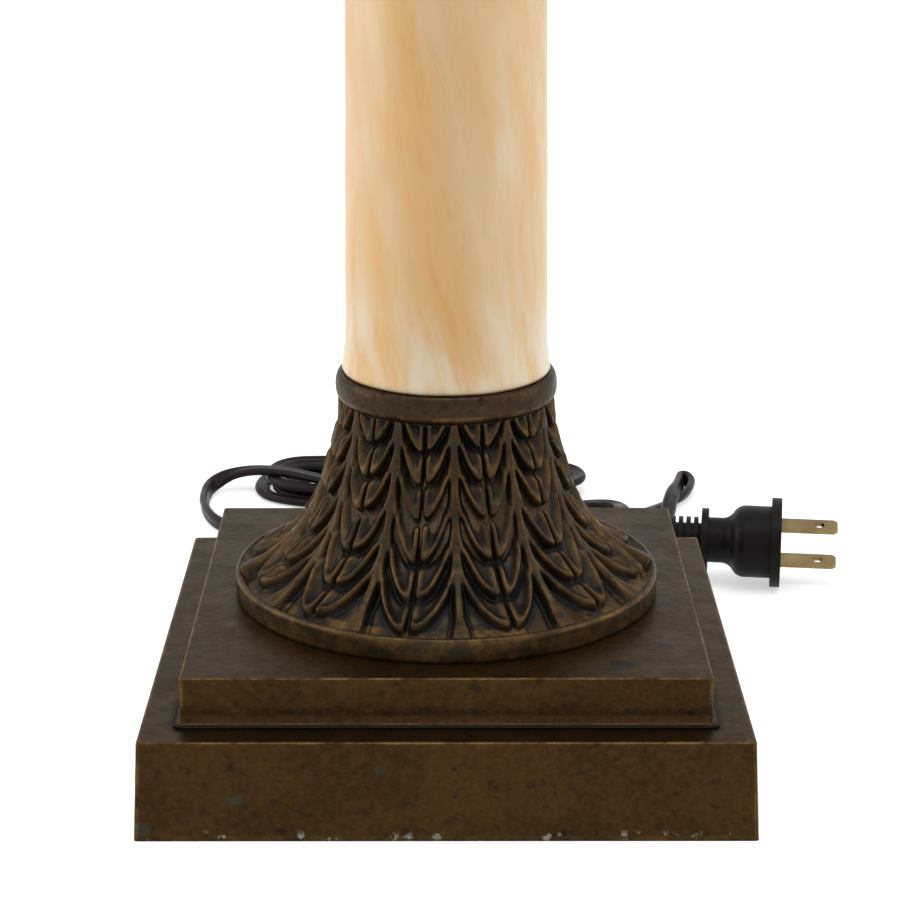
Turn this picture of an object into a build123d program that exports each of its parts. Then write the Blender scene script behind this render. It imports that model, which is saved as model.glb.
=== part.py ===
from build123d import *
import math
import os

os.makedirs("parts", exist_ok=True)

# A column table lamp: a stepped square plinth, a flared leaf foot, an onyx
# column, a leaf capital, a keyed lamp holder, a harp and a flat twin mains lead.
# Millimetres, +Z up. The origin is the centre of the base, on the table.
# The front is -Y, and the lead leaves at the back.

# ---- Driving dimensions -------------------------------------------------

# Lower tier of the plinth
plinth_width = 152.4
plinth_batter = 1.2
plinth_height = 25.9
plinth_wall = 5.0
plinth_roof = 4.5
plinth_corner = 2.2
plinth_arris = 0.6

# Felt pad let into the underside
pad_thickness = 2.0
pad_recess = 0.3
pad_ledge = 2.0
pad_corner = 3.0

# Upper tier of the plinth
tier_width = 132.3
tier_height = 12.8
tier_wall = 5.0
tier_roof = 4.5
tier_corner = 1.2
tier_skirt = 1.9
tier_skirt_height = 0.5
tier_cove = 1.7
tier_arris = 0.5

# Leaf foot
rim_radius = 57.0
rim_height = 6.4
rim_ledge = 1.6
rim_arris = 0.8
foot_height = 53.0
foot_waist = 29.0
foot_decay = 13.7
foot_wall = 4.0
foot_roof = 4.0

# Leaves carved on the foot: midribs, and leaflets whose tips step down each side
leaf_count = 12
leaf_turn = 4.0
rib_half_width = 1.35
rib_rise = 1.1
rib_flank = 0.8
rib_hollow = 0.5
leaflet_tip_heights = (45.1, 36.8, 28.2, 18.7, 11.9, 7.3)
leaflet_rise = 1.0
leaflet_drop = 0.7
leaflet_step = 0.8
leaf_gap_width = 1.6
leaf_gap_depth = 1.4

# Bead collar under the column, and the astragal over it
collar_height = 8.2
collar_edge_radius = 27.6
collar_bead = 1.8
collar_band_height = 1.8
collar_band_inset = 0.7
astragal_height = 7.0
astragal_edge_radius = 24.2
astragal_bead = 1.6
astragal_band_height = 1.5
astragal_band_inset = 0.6
ring_floor = 3.2
ring_wall = 4.0

# Gaskets between stone and metal
gasket_thickness = 1.4
gasket_margin = 1.6
gasket_let_in = 1.2

# Onyx column
column_length = 292.0
column_foot_radius = 27.7
column_foot_length = 12.0
column_low_radius = 26.95
column_top_radius = 23.6
column_bore = 8.0

# Capital
bell_height = 45.0
bell_neck_radius = 23.4
bell_lip_radius = 32.4
bell_decay = 11.0
bell_wall = 3.5
bell_floor = 3.5
abacus_half = 39.0
abacus_sag = 5.0
abacus_corner_cut = 4.5
abacus_cove_height = 4.2
abacus_fillet_height = 3.8
abacus_step = 1.8

# Tie rod and its fastenings
rod_radius = 4.95
rod_bore = 3.25
rod_hole_clearance = 0.3
thread_clearance = 0.05
rod_stick_out = 1.0
washer_radius = 14.0
washer_thickness = 1.5
lock_washer_radius = 8.0
lock_washer_thickness = 0.9
nut_across_flats = 14.3
nut_thickness = 4.2

# Brass stack over the abacus
cap_radius = 21.0
cap_rim = 1.6
cap_height = 7.5
cap_crown_radius = 9.5
neck_height = 13.0
neck_radius = 8.5
neck_waist = 6.7
neck_fillet = 1.5

# Harp saddle
saddle_half = 27.0
saddle_width = 14.0
saddle_thickness = 1.5
saddle_corner = 4.7
arm_height = 7.0
arm_width = 6.4
pin_length = 6.0

# Harp
wire_radius = 1.75
harp_height = 204.0
harp_half_width = 53.0
harp_shoulder_height = 84.0
harp_straight_height = 50.0
harp_waist_height = 142.0
harp_waist_drop = 1.5
harp_top_half = 23.0
seat_gap = 0.3
ferrule_length = 14.0
ferrule_radius = 3.2
ferrule_clearance = 0.06
stud_radius = 3.175
stud_length = 10.0
stud_disc_radius = 9.5
stud_disc_thickness = 1.5
stud_block_radius = 4.6
stud_block_below = 3.0
stud_block_above = 2.2
finial_height = 26.0
finial_radius = 8.6
finial_tip_radius = 3.0
finial_foot_radius = 6.6
finial_foot_height = 4.5
finial_neck_radius = 4.6
finial_foot_round = 1.5
finial_foot_step = 1.0
finial_bore_spare = 1.0

# Lamp holder
sheet = 0.6
hub_radius = 6.8
hub_height = 8.0
dome_height = 16.3
holder_cap_radius = 17.6
holder_cap_height = 21.0
shell_fit = 0.1
shell_height = 70.0
shell_bead = 0.6
shell_bead_drop = 6.0
liner_thickness = 0.6
liner_drop = 2.0
core_base_height = 2.4
core_clearance = 0.2
core_height = 27.4
screw_shell_radius = 13.2
screw_shell_sheet = 0.4
screw_shell_depth = 22.0
contact_radius = 4.0
contact_height = 2.2
contact_clearance = 0.15
contact_round = 0.5
set_screw_radius = 1.5
set_screw_height = 4.0
set_screw_length = 5.0
terminal_spread = 8.0
terminal_head_radius = 2.6
terminal_head_height = 1.8
terminal_shank_radius = 1.5
terminal_shank_length = 5.0

# Switch key
key_height = 34.0
shaft_radius = 1.5
shaft_running_clearance = 0.05
shaft_inner_reach = 4.0
shaft_outer_reach = 27.0
key_hole_radius = 2.6
paddle_width = 12.0
paddle_length = 14.0
paddle_thickness = 3.2
paddle_boss_radius = 2.6

# Mains lead: flat twin flex, its gland and the conductors inside the lamp
cord_width = 5.3
cord_height_on_table = cord_width / 2
exit_height = 10.0
gland_bore_clearance = 0.25
gland_barrel_radius = 5.1
gland_hole_clearance = 0.1
gland_flange_radius = 7.0
gland_flange_thickness = 2.0
gland_straight = 1.5
gland_snout = 20.0
lead_straight = 8.0
gland_tip_radius = 3.9
conductor_radius = 1.3
conductor_offset = 1.5
conductor_low_height = 5.0
conductor_straight = 6.0
conductor_parting_rise = 3.0
conductor_end_straight = 3.9
arc_share = 0.45

# Coil of lead lying behind the lamp
coil_x = -9.7
coil_y = 200.0
coil_half_length = 58.5
coil_half_depth = 33.0
coil_band = 19.0
coil_height = 11.0
coil_round = 3.5

# Plug
plug_x = 102.5
plug_y = 104.5
plug_yaw = -7.4
plug_roll = 12.0
plug_flange_radius = 14.1
plug_flange_thickness = 3.1
plug_body_radius = 11.35
plug_body_length = 8.1
plug_swell_length = 7.4
plug_neck_radius = 7.15
plug_neck_length = 4.2
plug_collar_radius = 10.0
plug_collar_thickness = 2.2
rib_count = 5
rib_pitch = 2.4
rib_width = 1.3
rib_root_radius = 5.2
plug_lead_straight = 14.5
blade_pitch = 12.7
blade_width = 6.35
blade_thickness = 1.5
blade_length = 17.5
blade_root = 8.0
blade_hole_radius = 1.6
blade_hole_from_tip = 5.7
blade_tip_cut = 1.2

# ---- Heights worked out from the sizes above ------------------------------

tier_base = plinth_height
foot_base = tier_base + tier_height
collar_base = foot_base + foot_height
collar_top = collar_base + collar_height
seat_rise = gasket_thickness - gasket_let_in
column_base = collar_top + seat_rise
column_top = column_base + column_length
astragal_base = column_top + seat_rise
bell_base = astragal_base + astragal_height
abacus_base = bell_base + bell_height
abacus_height = abacus_cove_height + abacus_fillet_height
cap_base = abacus_base + abacus_height
neck_base = cap_base + cap_height
top_nut_base = neck_base + neck_height
saddle_base = top_nut_base + nut_thickness
holder_base = saddle_base + saddle_thickness
rod_hole_radius = rod_radius + rod_hole_clearance
thread_radius = rod_radius + thread_clearance

roof_underside = plinth_height - plinth_roof
lock_washer_top = roof_underside - washer_thickness
bottom_nut_top = lock_washer_top - lock_washer_thickness
rod_bottom = bottom_nut_top - nut_thickness - rod_stick_out
rod_top = holder_base + hub_height

shell_base = holder_base + dome_height + seat_gap
shell_outer = holder_cap_radius - sheet - shell_fit
shell_inner = shell_outer - sheet
shell_top = holder_base + shell_height
liner_outer = shell_inner - shell_fit
liner_inner = liner_outer - liner_thickness
core_base = shell_base
core_top = core_base + core_height
key_axis_height = holder_base + key_height

arm_top = holder_base + arm_height
pin_top = arm_top + pin_length
harp_foot = pin_top + seat_gap
harp_top = saddle_base + harp_height
disc_base = harp_top + stud_block_above
disc_top = disc_base + stud_disc_thickness
finial_base = disc_top + seat_gap

# ---- Helpers ---------------------------------------------------------------


def turned(*curves):
    """Turn a closed outline, drawn as (radius, height), about the lamp's axis."""
    outline = Curve() + list(curves)
    return revolve(Plane.XZ * make_face(outline.edges()), Axis.Z)


def ring(outer, inner, low, high):
    """A plain washer or tube standing on the lamp's axis."""
    height = high - low
    middle = Pos(0, 0, (low + high) / 2)
    return middle * (Cylinder(outer, height) - Cylinder(inner, height))


def slab(width, corner, low, high):
    """A square plate with rounded upright corners."""
    return Pos(0, 0, low) * extrude(RectangleRounded(width, width, corner), high - low)


def rod_hole(low, high):
    """The clearance hole that the tie rod passes through."""
    return Pos(0, 0, (low + high) / 2) * Cylinder(rod_hole_radius, high - low)


def hex_nut(low):
    """A hexagon nut run onto the tie rod."""
    hexagon = RegularPolygon(nut_across_flats / 2, 6, major_radius=False)
    body = extrude(hexagon - Circle(thread_radius), nut_thickness)
    return Pos(0, 0, low) * body


def turn_angle(before, corner, after):
    """The angle, in degrees, that a route turns through at a corner."""
    return (corner - before).get_angle(after - corner)


def corner_radii(points):
    """The largest arcs that the runs of a route leave room for."""
    radii = []
    for before, corner, after in zip(points, points[1:], points[2:]):
        run = min((corner - before).length, (after - corner).length)
        half_turn = math.radians(turn_angle(before, corner, after)) / 2
        radii.append(arc_share * run / math.tan(half_turn))
    return radii


def tube(points, radius, label=None):
    """A round tube along straight runs joined by tangent arcs."""
    corners = [Vector(*point) for point in points]
    radii = corner_radii(corners)
    path = FilletPolyline(*corners, radius=radii)
    start = Plane(origin=corners[0], z_dir=corners[1] - corners[0])
    body = sweep(start * Circle(radius), path=path)
    if label:
        ratio = body.volume / (math.pi * radius**2 * path.length)
        turns = [round(r, 1) for r in radii]
        print(label, "length", round(path.length, 1), "volume ratio", round(ratio, 4))
        print(label, "radii", turns)
    return body


# ---- Plinth ------------------------------------------------------------------


def make_lower_plinth():
    """The hollow lower casting, open underneath, with a seat for the felt pad."""
    bottom_width = plinth_width + 2 * plinth_batter
    low = RectangleRounded(bottom_width, bottom_width, plinth_corner)
    high = RectangleRounded(plinth_width, plinth_width, plinth_corner)
    body = loft([low, Pos(0, 0, plinth_height) * high])
    body = fillet(body.edges().group_by(Axis.Z)[-1], plinth_arris)
    pad_seat = pad_recess + pad_thickness
    inner_width = plinth_width - 2 * plinth_wall
    body -= slab(inner_width, pad_corner, pad_seat, roof_underside)
    body -= slab(inner_width + 2 * pad_ledge, pad_corner, 0, pad_seat)
    body -= rod_hole(roof_underside, plinth_height)
    hole_radius = gland_barrel_radius + gland_hole_clearance
    hole = Pos(0, plinth_width / 2, exit_height) * Rot(90, 0, 0)
    return body - hole * Cylinder(hole_radius, 4 * plinth_wall)


def make_felt_pad():
    """The felt pad glued into the recess under the plinth."""
    width = plinth_width - 2 * plinth_wall + 2 * pad_ledge - 2 * pad_recess
    return slab(width, pad_corner, pad_recess, pad_recess + pad_thickness)


def make_upper_plinth():
    """The hollow upper casting, with a small cove where it meets the lower one."""
    skirt_width = tier_width + 2 * tier_skirt
    skirt_corner = tier_corner + tier_skirt
    skirt_top = tier_base + tier_skirt_height
    tier_top = tier_base + tier_height
    body = slab(skirt_width, skirt_corner, tier_base, skirt_top)
    body += slab(tier_width, tier_corner, tier_base, tier_top)
    body = fillet(body.edges().group_by(Axis.Z)[-1], tier_arris)
    foot_line = body.edges().filter_by_position(Axis.Z, skirt_top, skirt_top)
    foot_line = [e for e in foot_line if is_on_outline(e, tier_width / 2)]
    body = fillet(foot_line, tier_cove)
    inner_width = tier_width - 2 * tier_wall
    body -= slab(inner_width, pad_corner, tier_base, tier_top - tier_roof)
    return body - rod_hole(tier_base, tier_top)


def is_on_outline(edge, half_width):
    """True for an edge of the square outline of the given half width."""
    middle = edge.center()
    reach = max(abs(middle.X), abs(middle.Y))
    return reach < half_width + tier_skirt / 2


# ---- Leaf foot and rings -----------------------------------------------------


def flare_radius(height):
    """Radius of the foot's flare at a height above its underside."""
    spread = rim_radius - rim_ledge - foot_waist
    return foot_waist + spread * math.exp(-(height - rim_height) / foot_decay)


def curve_between(radius_at, low, high, steps=8):
    """A smooth curve through a radius formula, as points (radius, height)."""
    heights = [low + (high - low) * i / steps for i in range(steps + 1)]
    return [(radius_at(h), h) for h in heights]


def flare_slope(height):
    """How fast the foot's flare narrows at a height."""
    return (flare_radius(height) - foot_waist) / foot_decay


def leaf_corners(height, shoulder):
    """Corners across one leaf, from a gap to the next, as (distance, rise)."""
    half_leaf = math.pi * flare_radius(height) / leaf_count
    side = [
        (rib_half_width, rib_rise),
        (rib_half_width + rib_flank, -rib_hollow),
        (half_leaf - leaf_gap_width, shoulder),
    ]
    other_side = [(-across, rise) for across, rise in reversed(side)]
    return [(-half_leaf, -leaf_gap_depth)] + other_side + side


def leaf_outline(height, shoulder):
    """The carved flare's outline at a height, round all its leaves."""
    plain = flare_radius(height)
    steepness = math.hypot(1, flare_slope(height))
    limit = rim_radius - 2 * rim_arris
    points = []
    for leaf in range(leaf_count):
        middle = math.radians(leaf_turn + 360 * leaf / leaf_count)
        for across, rise in leaf_corners(height, shoulder):
            turn = middle + across / plain
            radius = min(plain + rise * steepness, limit)
            points.append((radius * math.sin(turn), -radius * math.cos(turn), height))
    return Wire.make_polygon(points)


def carved_flare():
    """The flare with its leaves, from inside the rim up to the collar."""
    outlines = [leaf_outline(foot_height, 0)]
    for tip in leaflet_tip_heights:
        outlines.append(leaf_outline(tip, leaflet_rise))
        outlines.append(leaf_outline(tip - leaflet_step, -leaflet_drop))
    outlines.append(leaf_outline(rim_height - rim_ledge, 0))
    return Solid.make_loft(reversed(outlines), ruled=True)


def make_leaf_foot():
    """The flared foot casting with its leaves and rim, hollow underneath."""
    rim = turned(
        Polyline(
            (0, 0),
            (rim_radius, 0),
            (rim_radius, rim_height - rim_arris),
            (rim_radius - rim_arris, rim_height),
            (0, rim_height),
            (0, 0),
        )
    )
    ceiling = foot_height - foot_roof

    def inner_radius(height):
        return flare_radius(height + foot_wall) - foot_wall

    inner = curve_between(inner_radius, rim_height - foot_wall, ceiling)
    hollow = turned(
        Spline(*inner),
        Polyline(inner[-1], (0, ceiling), (0, 0), (inner[0][0], 0), inner[0]),
    )
    body = rim + carved_flare() - hollow
    return Pos(0, 0, foot_base) * body - rod_hole(foot_base, collar_base)


def bead_ring(height, edge_radius, bead, band_height, band_inset):
    """A beaded ring with a plain band below, hollow underneath, recessed on top."""
    band_radius = edge_radius + bead - band_inset
    bead_middle = (band_height + height) / 2
    outline = turned(
        Polyline((0, height), (0, 0), (band_radius, 0), (band_radius, band_height)),
        Line((band_radius, band_height), (edge_radius, band_height)),
        ThreePointArc(
            (edge_radius, band_height),
            (edge_radius + bead, bead_middle),
            (edge_radius, height),
        ),
        Line((edge_radius, height), (0, height)),
    )
    recess = Cylinder(edge_radius - gasket_margin, gasket_let_in)
    recess = Pos(0, 0, height - gasket_let_in / 2) * recess
    under = height - gasket_let_in - ring_floor
    hollow = Pos(0, 0, under / 2) * Cylinder(edge_radius - ring_wall, under)
    return outline - recess - hollow - rod_hole(0, height)


def make_bead_collar():
    """The bead ring between the leaf foot and the column."""
    body = bead_ring(
        collar_height,
        collar_edge_radius,
        collar_bead,
        collar_band_height,
        collar_band_inset,
    )
    return Pos(0, 0, collar_base) * body


def make_astragal():
    """The smaller bead ring between the column and the capital, upside down."""
    body = bead_ring(
        astragal_height,
        astragal_edge_radius,
        astragal_bead,
        astragal_band_height,
        astragal_band_inset,
    )
    return Pos(0, 0, astragal_base) * Rot(180, 0, 0) * Pos(0, 0, -astragal_height) * body


def make_gasket(edge_radius, low):
    """A washer that beds the stone in its ring."""
    outer = edge_radius - gasket_margin - rod_hole_clearance
    return ring(outer, column_bore, low, low + gasket_thickness)


# ---- Column and capital ------------------------------------------------------


def make_column():
    """The bored and turned onyx column, tapering upwards from a slight flare."""
    foot_top = column_base + column_foot_length
    taper = (column_low_radius - column_top_radius) / column_length
    knee_radius = column_low_radius - taper * column_foot_length
    knee = (knee_radius, foot_top)
    top = (column_top_radius, column_top)
    slope = Vector(top[0] - knee[0], top[1] - knee[1])
    return turned(
        TangentArc(knee, (column_foot_radius, column_base), tangent=-slope),
        Polyline(knee, top, (column_bore, column_top), (column_bore, column_base)),
        Line((column_bore, column_base), (column_foot_radius, column_base)),
    )


def bell_radius(height):
    """Radius of the capital's bell at a height above its underside."""
    spread = bell_lip_radius - bell_neck_radius
    return bell_neck_radius + spread * math.exp((height - bell_height) / bell_decay)


def make_capital_bell():
    """The bell casting that carries the capital's leaves, open at the top."""
    outer = curve_between(bell_radius, 0, bell_height)
    outside = turned(
        Spline(*outer),
        Polyline(outer[-1], (0, bell_height), (0, 0), outer[0]),
    )

    def inner_radius(height):
        return bell_radius(height) - bell_wall

    inner = curve_between(inner_radius, bell_floor, bell_height)
    hollow = turned(
        Spline(*inner),
        Polyline(inner[-1], (0, bell_height), (0, bell_floor), inner[0]),
    )
    return Pos(0, 0, bell_base) * (outside - hollow) - rod_hole(bell_base, abacus_base)


def abacus_outline(half):
    """A square with hollowed sides and cut corners."""
    near = half - abacus_corner_cut
    side = ThreePointArc((-near, -half), (0, abacus_sag - half), (near, -half))
    cut = Line((near, -half), (half, -near))
    quarter = [side, cut]
    sides = [Rot(0, 0, 90 * i) * piece for i in range(4) for piece in quarter]
    return make_face((Curve() + sides).edges())


def make_abacus():
    """The square top plate of the capital, in two steps."""
    step_top = abacus_base + abacus_cove_height
    low = extrude(abacus_outline(abacus_half - abacus_step), abacus_cove_height)
    high = extrude(abacus_outline(abacus_half), abacus_fillet_height)
    body = Pos(0, 0, abacus_base) * low + Pos(0, 0, step_top) * high
    return body - rod_hole(abacus_base, cap_base)


# ---- Tie rod, nuts and brass stack --------------------------------------------


def make_top_cap():
    """The spun cap that covers the hole in the abacus."""
    crown = (cap_crown_radius, cap_height)
    rim = (cap_radius, cap_rim)
    sag = ((cap_radius + cap_crown_radius) / 2 - cap_rim, cap_height / 2)
    body = turned(
        Polyline(crown, (0, cap_height), (0, 0), (cap_radius, 0), rim),
        ThreePointArc(rim, sag, crown),
    )
    return Pos(0, 0, cap_base) * body - rod_hole(cap_base, neck_base)


def make_neck():
    """The waisted spacer under the harp saddle."""
    low = (neck_radius, neck_fillet)
    high = (neck_radius, neck_height - neck_fillet)
    body = turned(
        Polyline(high, (neck_radius, neck_height), (0, neck_height), (0, 0)),
        Polyline((0, 0), (neck_radius, 0), low),
        ThreePointArc(low, (neck_waist, neck_height / 2), high),
    )
    return Pos(0, 0, neck_base) * body - rod_hole(neck_base, top_nut_base)


def make_saddle():
    """The flat bracket whose two upright arms end in the harp's pins."""
    length = 2 * saddle_half + saddle_thickness
    middle = Pos(0, 0, saddle_base + saddle_thickness / 2)
    body = middle * Box(length, saddle_width, saddle_thickness)
    body = fillet(body.edges().filter_by(Axis.Z), saddle_corner)
    body -= rod_hole(saddle_base, holder_base)
    for side in (-1, 1):
        arm = Box(saddle_thickness, arm_width, arm_height)
        pin = Cylinder(wire_radius, pin_length)
        body += Pos(side * saddle_half, 0, holder_base + arm_height / 2) * arm
        body += Pos(side * saddle_half, 0, arm_top + pin_length / 2) * pin
    return body


# ---- Lamp holder ---------------------------------------------------------------


def make_holder_cap():
    """The domed lower shell of the lamp holder, with its threaded hub."""
    outer = holder_cap_radius
    inner = outer - sheet
    dome_bulge = (hub_radius + outer) / 2 + sheet
    dome_middle = (hub_height + dome_height) / 2 - sheet
    body = turned(
        Polyline((thread_radius, 0), (hub_radius, 0), (hub_radius, hub_height)),
        ThreePointArc(
            (hub_radius, hub_height),
            (dome_bulge, dome_middle),
            (outer, dome_height),
        ),
        Polyline((outer, dome_height), (outer, holder_cap_height)),
        Polyline((outer, holder_cap_height), (inner, holder_cap_height)),
        Polyline((inner, holder_cap_height), (inner, dome_height)),
        ThreePointArc(
            (inner, dome_height),
            (dome_bulge - sheet, dome_middle + sheet),
            (hub_radius - sheet, hub_height + sheet),
        ),
        Polyline((hub_radius - sheet, hub_height + sheet), (thread_radius, hub_height)),
        Line((thread_radius, hub_height), (thread_radius, 0)),
    )
    hole = Pos(0, hub_radius, set_screw_height) * Rot(90, 0, 0)
    body -= hole * Cylinder(set_screw_radius + thread_clearance, 2 * hub_radius - 2 * sheet)
    return Pos(0, 0, holder_base) * body


def make_set_screw():
    """The headless screw that locks the hub on the tie rod."""
    middle = rod_radius + thread_clearance + set_screw_length / 2
    place = Pos(0, middle, holder_base + set_screw_height) * Rot(90, 0, 0)
    slot = Pos(0, 0, -set_screw_length / 2) * Box(sheet, 4 * set_screw_radius, 2 * sheet)
    return place * (Cylinder(set_screw_radius, set_screw_length) - slot)


def key_hole(radius):
    """The hole for the switch shaft through the front of the holder."""
    reach = holder_cap_radius
    place = Pos(0, -reach, key_axis_height) * Rot(90, 0, 0)
    return place * Cylinder(radius, reach)


def make_socket_shell():
    """The upper brass shell, with a rolled lip and a bead."""
    bead_height = shell_top - shell_bead_drop
    bead_low = bead_height - 2 * shell_bead
    bead_high = bead_height + 2 * shell_bead
    body = turned(
        Polyline((shell_inner, shell_top), (shell_inner, shell_base)),
        Polyline((shell_inner, shell_base), (shell_outer, shell_base)),
        Polyline((shell_outer, shell_base), (shell_outer, bead_low)),
        ThreePointArc(
            (shell_outer, bead_low),
            (shell_outer + shell_bead, bead_height),
            (shell_outer, bead_high),
        ),
        Polyline((shell_outer, bead_high), (shell_outer, shell_top - sheet)),
        Polyline(
            (shell_outer, shell_top - sheet),
            (shell_outer + shell_bead, shell_top - sheet),
            (shell_outer + shell_bead, shell_top),
            (shell_inner, shell_top),
        ),
    )
    return body - key_hole(key_hole_radius)


def make_socket_liner():
    """The fibre sleeve that insulates the shell."""
    low = core_base + core_base_height
    body = ring(liner_outer, liner_inner, low, shell_top - liner_drop)
    return body - key_hole(key_hole_radius)


def make_socket_core():
    """The moulded block that carries the contacts and the switch."""
    base_top = core_base + core_base_height
    base_radius = shell_inner - core_clearance
    body_radius = liner_inner - core_clearance
    body = Pos(0, 0, (core_base + base_top) / 2) * Cylinder(base_radius, core_base_height)
    tall = Cylinder(body_radius, core_height - core_base_height)
    body += Pos(0, 0, (base_top + core_top) / 2) * tall
    pocket = Cylinder(contact_radius + contact_clearance, contact_height)
    body -= Pos(0, 0, core_top - contact_height / 2) * pocket
    for side in (-1, 1):
        radius = terminal_shank_radius + thread_clearance
        place = Pos(side * terminal_spread, 0, core_base + terminal_shank_length / 2)
        body -= place * Cylinder(radius, terminal_shank_length)
    bore_length = holder_cap_radius
    bore_middle = -shaft_inner_reach - bore_length / 2
    place = Pos(0, bore_middle, key_axis_height) * Rot(90, 0, 0)
    return body - place * Cylinder(shaft_radius + shaft_running_clearance, bore_length)


def make_screw_shell():
    """The plain-bored shell that stands for the bulb's thread."""
    outer = screw_shell_radius + screw_shell_sheet
    floor_top = core_top + screw_shell_sheet
    body = ring(outer, screw_shell_radius, core_top, floor_top + screw_shell_depth)
    return body + ring(outer, 2 * contact_radius, core_top, floor_top)


def make_centre_contact():
    """The disc that touches the tip of the bulb."""
    low = core_top - contact_height
    body = Pos(0, 0, low + contact_height / 2) * Cylinder(contact_radius, contact_height)
    return fillet(body.edges().group_by(Axis.Z)[-1], contact_round)


def make_terminal_screws():
    """The two screws, under the core, that hold the conductors."""
    screws = []
    for side in (-1, 1):
        head = Cylinder(terminal_head_radius, terminal_head_height)
        shank = Cylinder(terminal_shank_radius, terminal_shank_length)
        screw = Pos(0, 0, -terminal_head_height / 2) * head
        screw += Pos(0, 0, terminal_shank_length / 2) * shank
        screws.append(Pos(side * terminal_spread, 0, core_base) * screw)
    return Compound(children=screws)


def make_switch_shaft():
    """The steel shaft that turns in the core."""
    length = shaft_outer_reach - shaft_inner_reach - seat_gap
    middle = -shaft_inner_reach - seat_gap - length / 2
    return Pos(0, middle, key_axis_height) * Rot(90, 0, 0) * Cylinder(shaft_radius, length)


def make_switch_key():
    """The flat thumb key on the end of the shaft."""
    boss = Cylinder(paddle_boss_radius, paddle_length / 2)
    boss = Pos(0, 0, paddle_length / 4) * boss
    outline = SlotCenterToCenter(paddle_length - paddle_width / 2, paddle_width)
    blade = extrude(outline, paddle_thickness / 2, both=True)
    blade = Pos(0, 0, paddle_length * 3 / 4) * Rot(90, 0, 90) * blade
    key = boss + blade
    depth = shaft_outer_reach - paddle_length / 4
    place = Pos(0, -depth, key_axis_height) * Rot(90, 0, 0)
    return place * key - make_switch_shaft()


# ---- Harp ------------------------------------------------------------------------


def harp_side():
    """The corners of one side of the harp, from its foot to its top."""
    return [
        (saddle_half, harp_foot),
        (saddle_half, saddle_base + harp_straight_height),
        (harp_half_width, saddle_base + harp_shoulder_height),
        (harp_half_width - harp_waist_drop, saddle_base + harp_waist_height),
        (harp_top_half, harp_top),
    ]


def make_harp():
    """The bent wire loop that carries a shade."""
    right = [(x, 0, z) for x, z in harp_side()]
    left = [(-x, 0, z) for x, z in reversed(harp_side())]
    return tube(right + left, wire_radius)


def make_harp_stud(harp):
    """The threaded stud and seat disc pressed onto the top of the wire."""
    block_low = harp_top - stud_block_below
    block = Cylinder(stud_block_radius, disc_base - block_low)
    body = Pos(0, 0, (block_low + disc_base) / 2) * block
    disc = Cylinder(stud_disc_radius, stud_disc_thickness)
    body += Pos(0, 0, disc_base + stud_disc_thickness / 2) * disc
    body += Pos(0, 0, disc_top + stud_length / 2) * Cylinder(stud_radius, stud_length)
    return body - harp


def make_ferrule(side):
    """One of the two sleeves that lock the harp to the saddle's pins."""
    low = arm_top + seat_gap
    body = ring(ferrule_radius, wire_radius + ferrule_clearance, low, low + ferrule_length)
    return Pos(side * saddle_half, 0, 0) * body


def make_finial():
    """The turned knob that holds a shade down on the stud."""
    foot = Cylinder(finial_foot_radius, finial_foot_height)
    foot = fillet(foot.edges(), finial_foot_round)
    ball_height = finial_height - finial_tip_radius - finial_radius
    neck_top = ball_height - finial_radius / 2
    neck_foot = finial_foot_radius - finial_foot_step
    neck = Cone(neck_foot, finial_neck_radius, neck_top - finial_foot_height)
    body = Pos(0, 0, finial_foot_height / 2) * foot
    body += Pos(0, 0, (finial_foot_height + neck_top) / 2) * neck
    body += Pos(0, 0, ball_height) * Sphere(finial_radius)
    body += Pos(0, 0, finial_height - finial_tip_radius) * Sphere(finial_tip_radius)
    bore_depth = stud_length + finial_bore_spare
    bore = Cylinder(stud_radius + ferrule_clearance, bore_depth)
    return Pos(0, 0, finial_base) * (body - Pos(0, 0, bore_depth / 2) * bore)


# ---- Mains lead --------------------------------------------------------------------

gland_face = plinth_width / 2 - plinth_wall
cord_start = plinth_width / 2
gland_end = plinth_width / 2 + gland_snout

# From the gland, round the loose loop at the left, to the coil.
run_route = [
    (0, cord_start, exit_height),
    (0, gland_end + lead_straight, exit_height),
    (-8, 131, 4.8),
    (-32, 139, cord_height_on_table),
    (-57, 141, cord_height_on_table),
    (-77, 154, cord_height_on_table),
    (-85, 173, cord_height_on_table),
    (-85, 193, cord_height_on_table),
    (-79, 209, 3.6),
    (-66, 216, 6.0),
    (-52, 212, 8.0),
]

# From the coil, through a curl and the tight loop at the right, to the plug.
tail_route = [
    (31, 175, cord_height_on_table),
    (44, 178, 3.4),
    (55, 181, 7.2),
    (64, 177, 9.4),
    (66.5, 166, 8.2),
    (65, 154, 3.6),
    (57, 144, cord_height_on_table),
    (46, 140.5, cord_height_on_table),
    (36, 145, cord_height_on_table),
    (33, 155, cord_height_on_table),
    (37.5, 165, cord_height_on_table),
    (48, 169.5, cord_height_on_table),
    (60, 172.5, cord_height_on_table),
    (70, 177, cord_height_on_table),
    (79, 182.5, cord_height_on_table),
    (85.5, 188.5, cord_height_on_table),
    (88, 194, 3.2),
    (88.2, 200.5, 3.8),
    (86.6, 204.8, 4.4),
    (83.3, 206.4, 5.2),
    (80, 204.4, 6.2),
    (78.4, 199, 7.4),
    (77.3, 190, 9.0),
    (75.5, 178, 9.4),
    (73, 165, 7.0),
    (72, 152, cord_height_on_table),
    (69, 139, cord_height_on_table),
    (59, 130, cord_height_on_table),
    (47, 127, cord_height_on_table),
    (34, 128, cord_height_on_table),
    (24.5, 124, cord_height_on_table),
    (21, 115.5, 3.0),
    (27, 109, 5.4),
    (39, 110.8, 10.6),
]


def plug_place():
    """Where the plug lies: its flange's centre, turned towards the front."""
    return Pos(plug_x, plug_y, plug_flange_radius) * Rot(0, 0, plug_yaw)


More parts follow.
